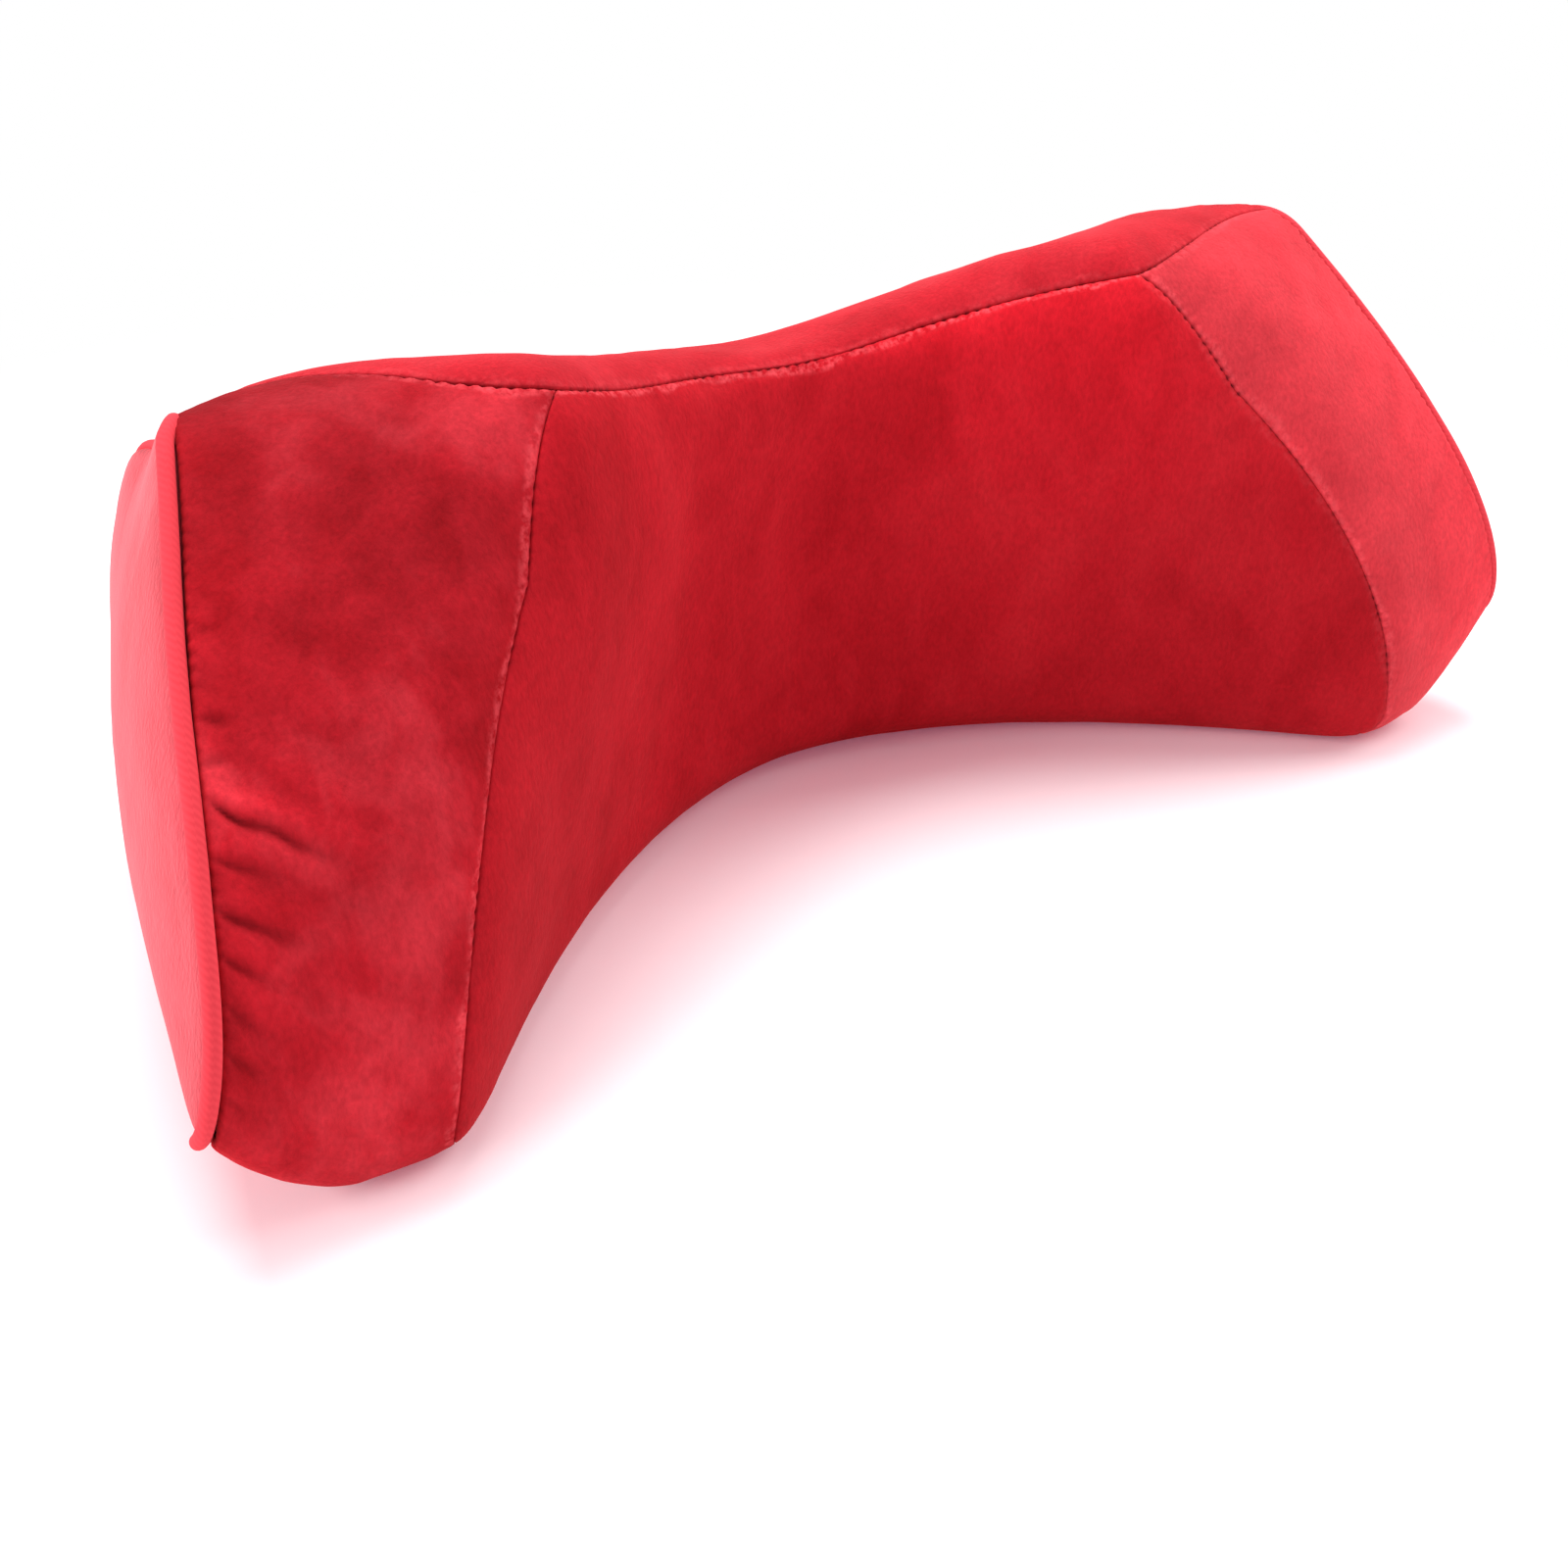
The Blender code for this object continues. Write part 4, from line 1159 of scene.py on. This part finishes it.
form = pillowForm
frontSpan = (form["footSeam"], form["topSeam"])
panels = {
    "neckPanelVelvet": softPanel(
        "neckPanelVelvet", (-1, 1), frontSpan, (0.68 * mm, 0.66 * mm),
        {"left": ("quiet", 11, 0.0), "right": ("side", 12, 0.2),
         "top": ("top", 13, 0.9), "foot": ("foot", 14, 0.2)},
        neckVelvet,
        # painted light and shade: paler at the top right, darker low on the right and the left and a little
        # on the upper left, and a pale painted-sheen rim along the foot
        marks=[((0.55, 1.0), (0.6, 0.22), 0.38), ((0.85, 0.35), (0.42, 0.45), -0.28),
               ((-0.85, 0.2), (0.35, 0.7), -0.30), ((-0.3, 0.75), (0.4, 0.4), -0.10),
               ((0.0, -0.09), (1.3, 0.045), 0.45)], slack=0.08),
    "leftWingVelvet": softPanel(
        "leftWingVelvet", (-2, -1), frontSpan, (0.6 * mm, 0.6 * mm),
        {"left": ("end", 21, 0.0), "right": ("quiet", 11, 0.5),
         "top": ("top", 13, 0.6), "foot": ("foot", 14, 0.2)},
        leftWingVelvet,
        # painted shade at the top by the end and in the middle, a little painted light low down, and a pale
        # painted-sheen rim along the foot
        marks=[((-1.9, 0.96), (0.55, 0.26), -0.48), ((-1.42, 0.62), (0.5, 0.20), -0.12),
               ((-1.5, 0.1), (0.8, 0.3), 0.05), ((-1.5, -0.08), (0.8, 0.07), 0.35)],
        slack=0.24, gathered=True),
    "rightWingVelvet": softPanel(
        "rightWingVelvet", (1, 2), frontSpan, (0.7 * mm, 0.66 * mm),
        {"left": ("side", 12, 0.5), "right": ("end", 22, 0.0),
         "top": ("top", 13, 0.4), "foot": ("foot", 14, 0.2)},
        rightWingVelvet,
        # painted light low down by the end, a little painted shade in the middle, and a pale painted-sheen
        # rim along the foot
        marks=[((1.9, 0.3), (0.6, 0.6), 0.26), ((1.4, 0.62), (0.3, 0.12), -0.06),
               ((1.5, -0.08), (0.8, 0.06), 0.20)], slack=0.20),
    "backPanelVelvet": softPanel(
        "backPanelVelvet", (-2, 2), (form["topSeam"], form["backSeam"]), (0.85 * mm, 1.3 * mm),
        {"left": ("end", 21, 0.0), "right": ("end", 22, 0.0),
         "foot": ("top", 13, 0.2), "top": ("foot", 15, 0.0)},
        backVelvet, slack=0.15),
    "basePanelVelvet": softPanel(
        "basePanelVelvet", (-2, 2), (form["backSeam"], form["footSeam"] + 4), (2.0 * mm, 2.0 * mm),
        {"left": ("end", 21, 0), "right": ("end", 22, 0), "foot": ("foot", 15, 0), "top": ("foot", 14, 0)},
        backVelvet, sole=True),
    "leftEndVelvet": endCap("leftEndVelvet", -1, endVelvetPaintedLit),
    "rightEndVelvet": endCap("rightEndVelvet", 1, endVelvetPaintedLit),
}
stoodFor = {
    "neckPanelVelvet": "neck_panel", "leftWingVelvet": "left_wing_panel",
    "rightWingVelvet": "right_wing_panel", "backPanelVelvet": "back_panel",
    "basePanelVelvet": "base_panel", "leftEndVelvet": "left_end_panel", "rightEndVelvet": "right_end_panel",
}
for name, panel in panels.items():
    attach(panel, "root")
    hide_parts(stoodFor[name])
print("cover panels sewn")


# piping round both ends

pipingForm = {
    "radius": 1.3 * mm,
    "sunk": (1.05 * mm, 1.6 * mm),  # left, right: its middle lies this far inside the cover's outline
    "outFront": (0.9 * mm, 0.4 * mm),  # and this far beyond the end seam in front
    "outBehind": (-1.2 * mm, -0.2 * mm),  # and behind, where the end panel covers it
    "rings": 760,
    "sides": 18,
    "waver": 0.12 * mm,
}


def rolledPiping(name, side):
    v = np.linspace(0, 4, pipingForm["rings"] + 1)[:-1]
    which = 0 if side < 0 else 1
    dense = endOutline(v, pipingForm["sunk"][which])
    behind = behindShare(v)
    out = (endReach(v) + pipingForm["outFront"][which] * (1 - behind)
           + pipingForm["outBehind"][which] * behind)
    path = np.stack([side * out, pillowForm["forward"] - dense[:, 0], dense[:, 1]], -1)
    steps = np.linalg.norm(np.roll(path, -1, axis=0) - path, axis=-1)
    s = np.concatenate([[0], np.cumsum(steps)])
    even = np.linspace(0, s[-1], pipingForm["rings"] + 1)[:-1]
    closed = np.concatenate([path, path[:1]])
    path = np.stack([np.interp(even, s, closed[:, k]) for k in range(3)], -1)
    middle = path.mean(axis=0)
    across = unit(path - middle)
    waver = softNoise(even / (13 * mm), np.zeros_like(even), 90 + side) * pipingForm["waver"]
    path = path + across * (waver * np.clip(np.minimum(even, s[-1] - even) / (8 * mm), 0, 1))[:, None]
    radius = pipingForm["radius"] * (0.985 + 0.03 * softNoise(even / (7 * mm), np.ones_like(even), 95 + side)
                                     * np.clip(np.minimum(even, s[-1] - even) / (8 * mm), 0, 1))
    path = eased(path)
    return tube(name, path if side < 0 else path[::-1], across if side < 0 else across[::-1],
                radius, pipingForm["sides"], pipingCloth)


for name, side, node in (("leftPipingRoll", -1, "left_piping"), ("rightPipingRoll", 1, "right_piping")):
    piping = rolledPiping(name, side)
    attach(piping, "root")
    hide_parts(node)
print("piping rolled")


# elastic strap across the back, and the foam inside

strapForm = {"place": 2.5, "width": 25 * mm, "thickness": 1.2 * mm, "clear": 0.4 * mm}


def elasticStrap():
    step = 0.002
    place = strapForm["place"]
    slope = np.linalg.norm(coverPoint(0, place + step) - coverPoint(0, place - step))
    half = strapForm["width"] * step / slope
    c, v = np.meshgrid(np.linspace(-2, 2, 301), np.linspace(-1, 1, 34) * half + place, indexing="ij")
    u = shareAt(c, v, endTuck)
    normals = coverNormal(u, v)
    fromEnd = (1 - np.abs(u)) * endReach(v)
    raised = clothSheet["puff"] - (clothSheet["puff"] + 2.2 * mm) * np.exp(-fromEnd / (1.6 * mm))
    base = coverPoint(u, v) + bodySwell(c, v) + normals * raised[..., None]
    across = (v - place) / half
    edge = 0.35 * mm * np.clip(np.abs(across) * 8 - 7, 0, 1) ** 2
    outer = base + normals * (strapForm["clear"] + strapForm["thickness"] - edge)[..., None]
    inner = base + normals * (strapForm["clear"] + edge * 0.3)[..., None]
    uv = np.stack([u * 14.5, across * strapForm["width"] * 50], -1)
    return closedSheet("backStrapElastic", eased(outer), eased(inner), elasticWeave, uv, {})


def foamBlock():
    inset = 4.2 * mm
    v = np.linspace(pillowForm["footSeam"], pillowForm["footSeam"] + 4, 97)[:-1]
    c = np.linspace(-2, 2, 73)
    cGrid, vGrid = np.meshgrid(c, v, indexing="ij")
    u = shareAt(cGrid, vGrid, (4.5 * mm, 4.5 * mm))
    body = coverPoint(u, vGrid) - coverNormal(u, vGrid) * inset
    shares = np.array([0.9, 0.7, 0.45, 0.2, 0.06])
    share, ringV = np.meshgrid(shares, v, indexing="ij")
    cap = endPoint(share, ringV, inset, inset)
    mirror = np.array([-1, 1, 1])
    rings = eased(np.concatenate([cap[::-1] * mirror, body, cap]))
    walls, fans = closedRings(*rings.shape[:2])
    everything = withPoles(rings)
    return meshObject("foamBlock", everything, walls, fans, foam, everything[:, :2] * 100)


strap = elasticStrap()
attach(strap, "root")
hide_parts("back_strap")
core = foamBlock()
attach(core, "root")
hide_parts("foam_core")
print("strap and foam placed")
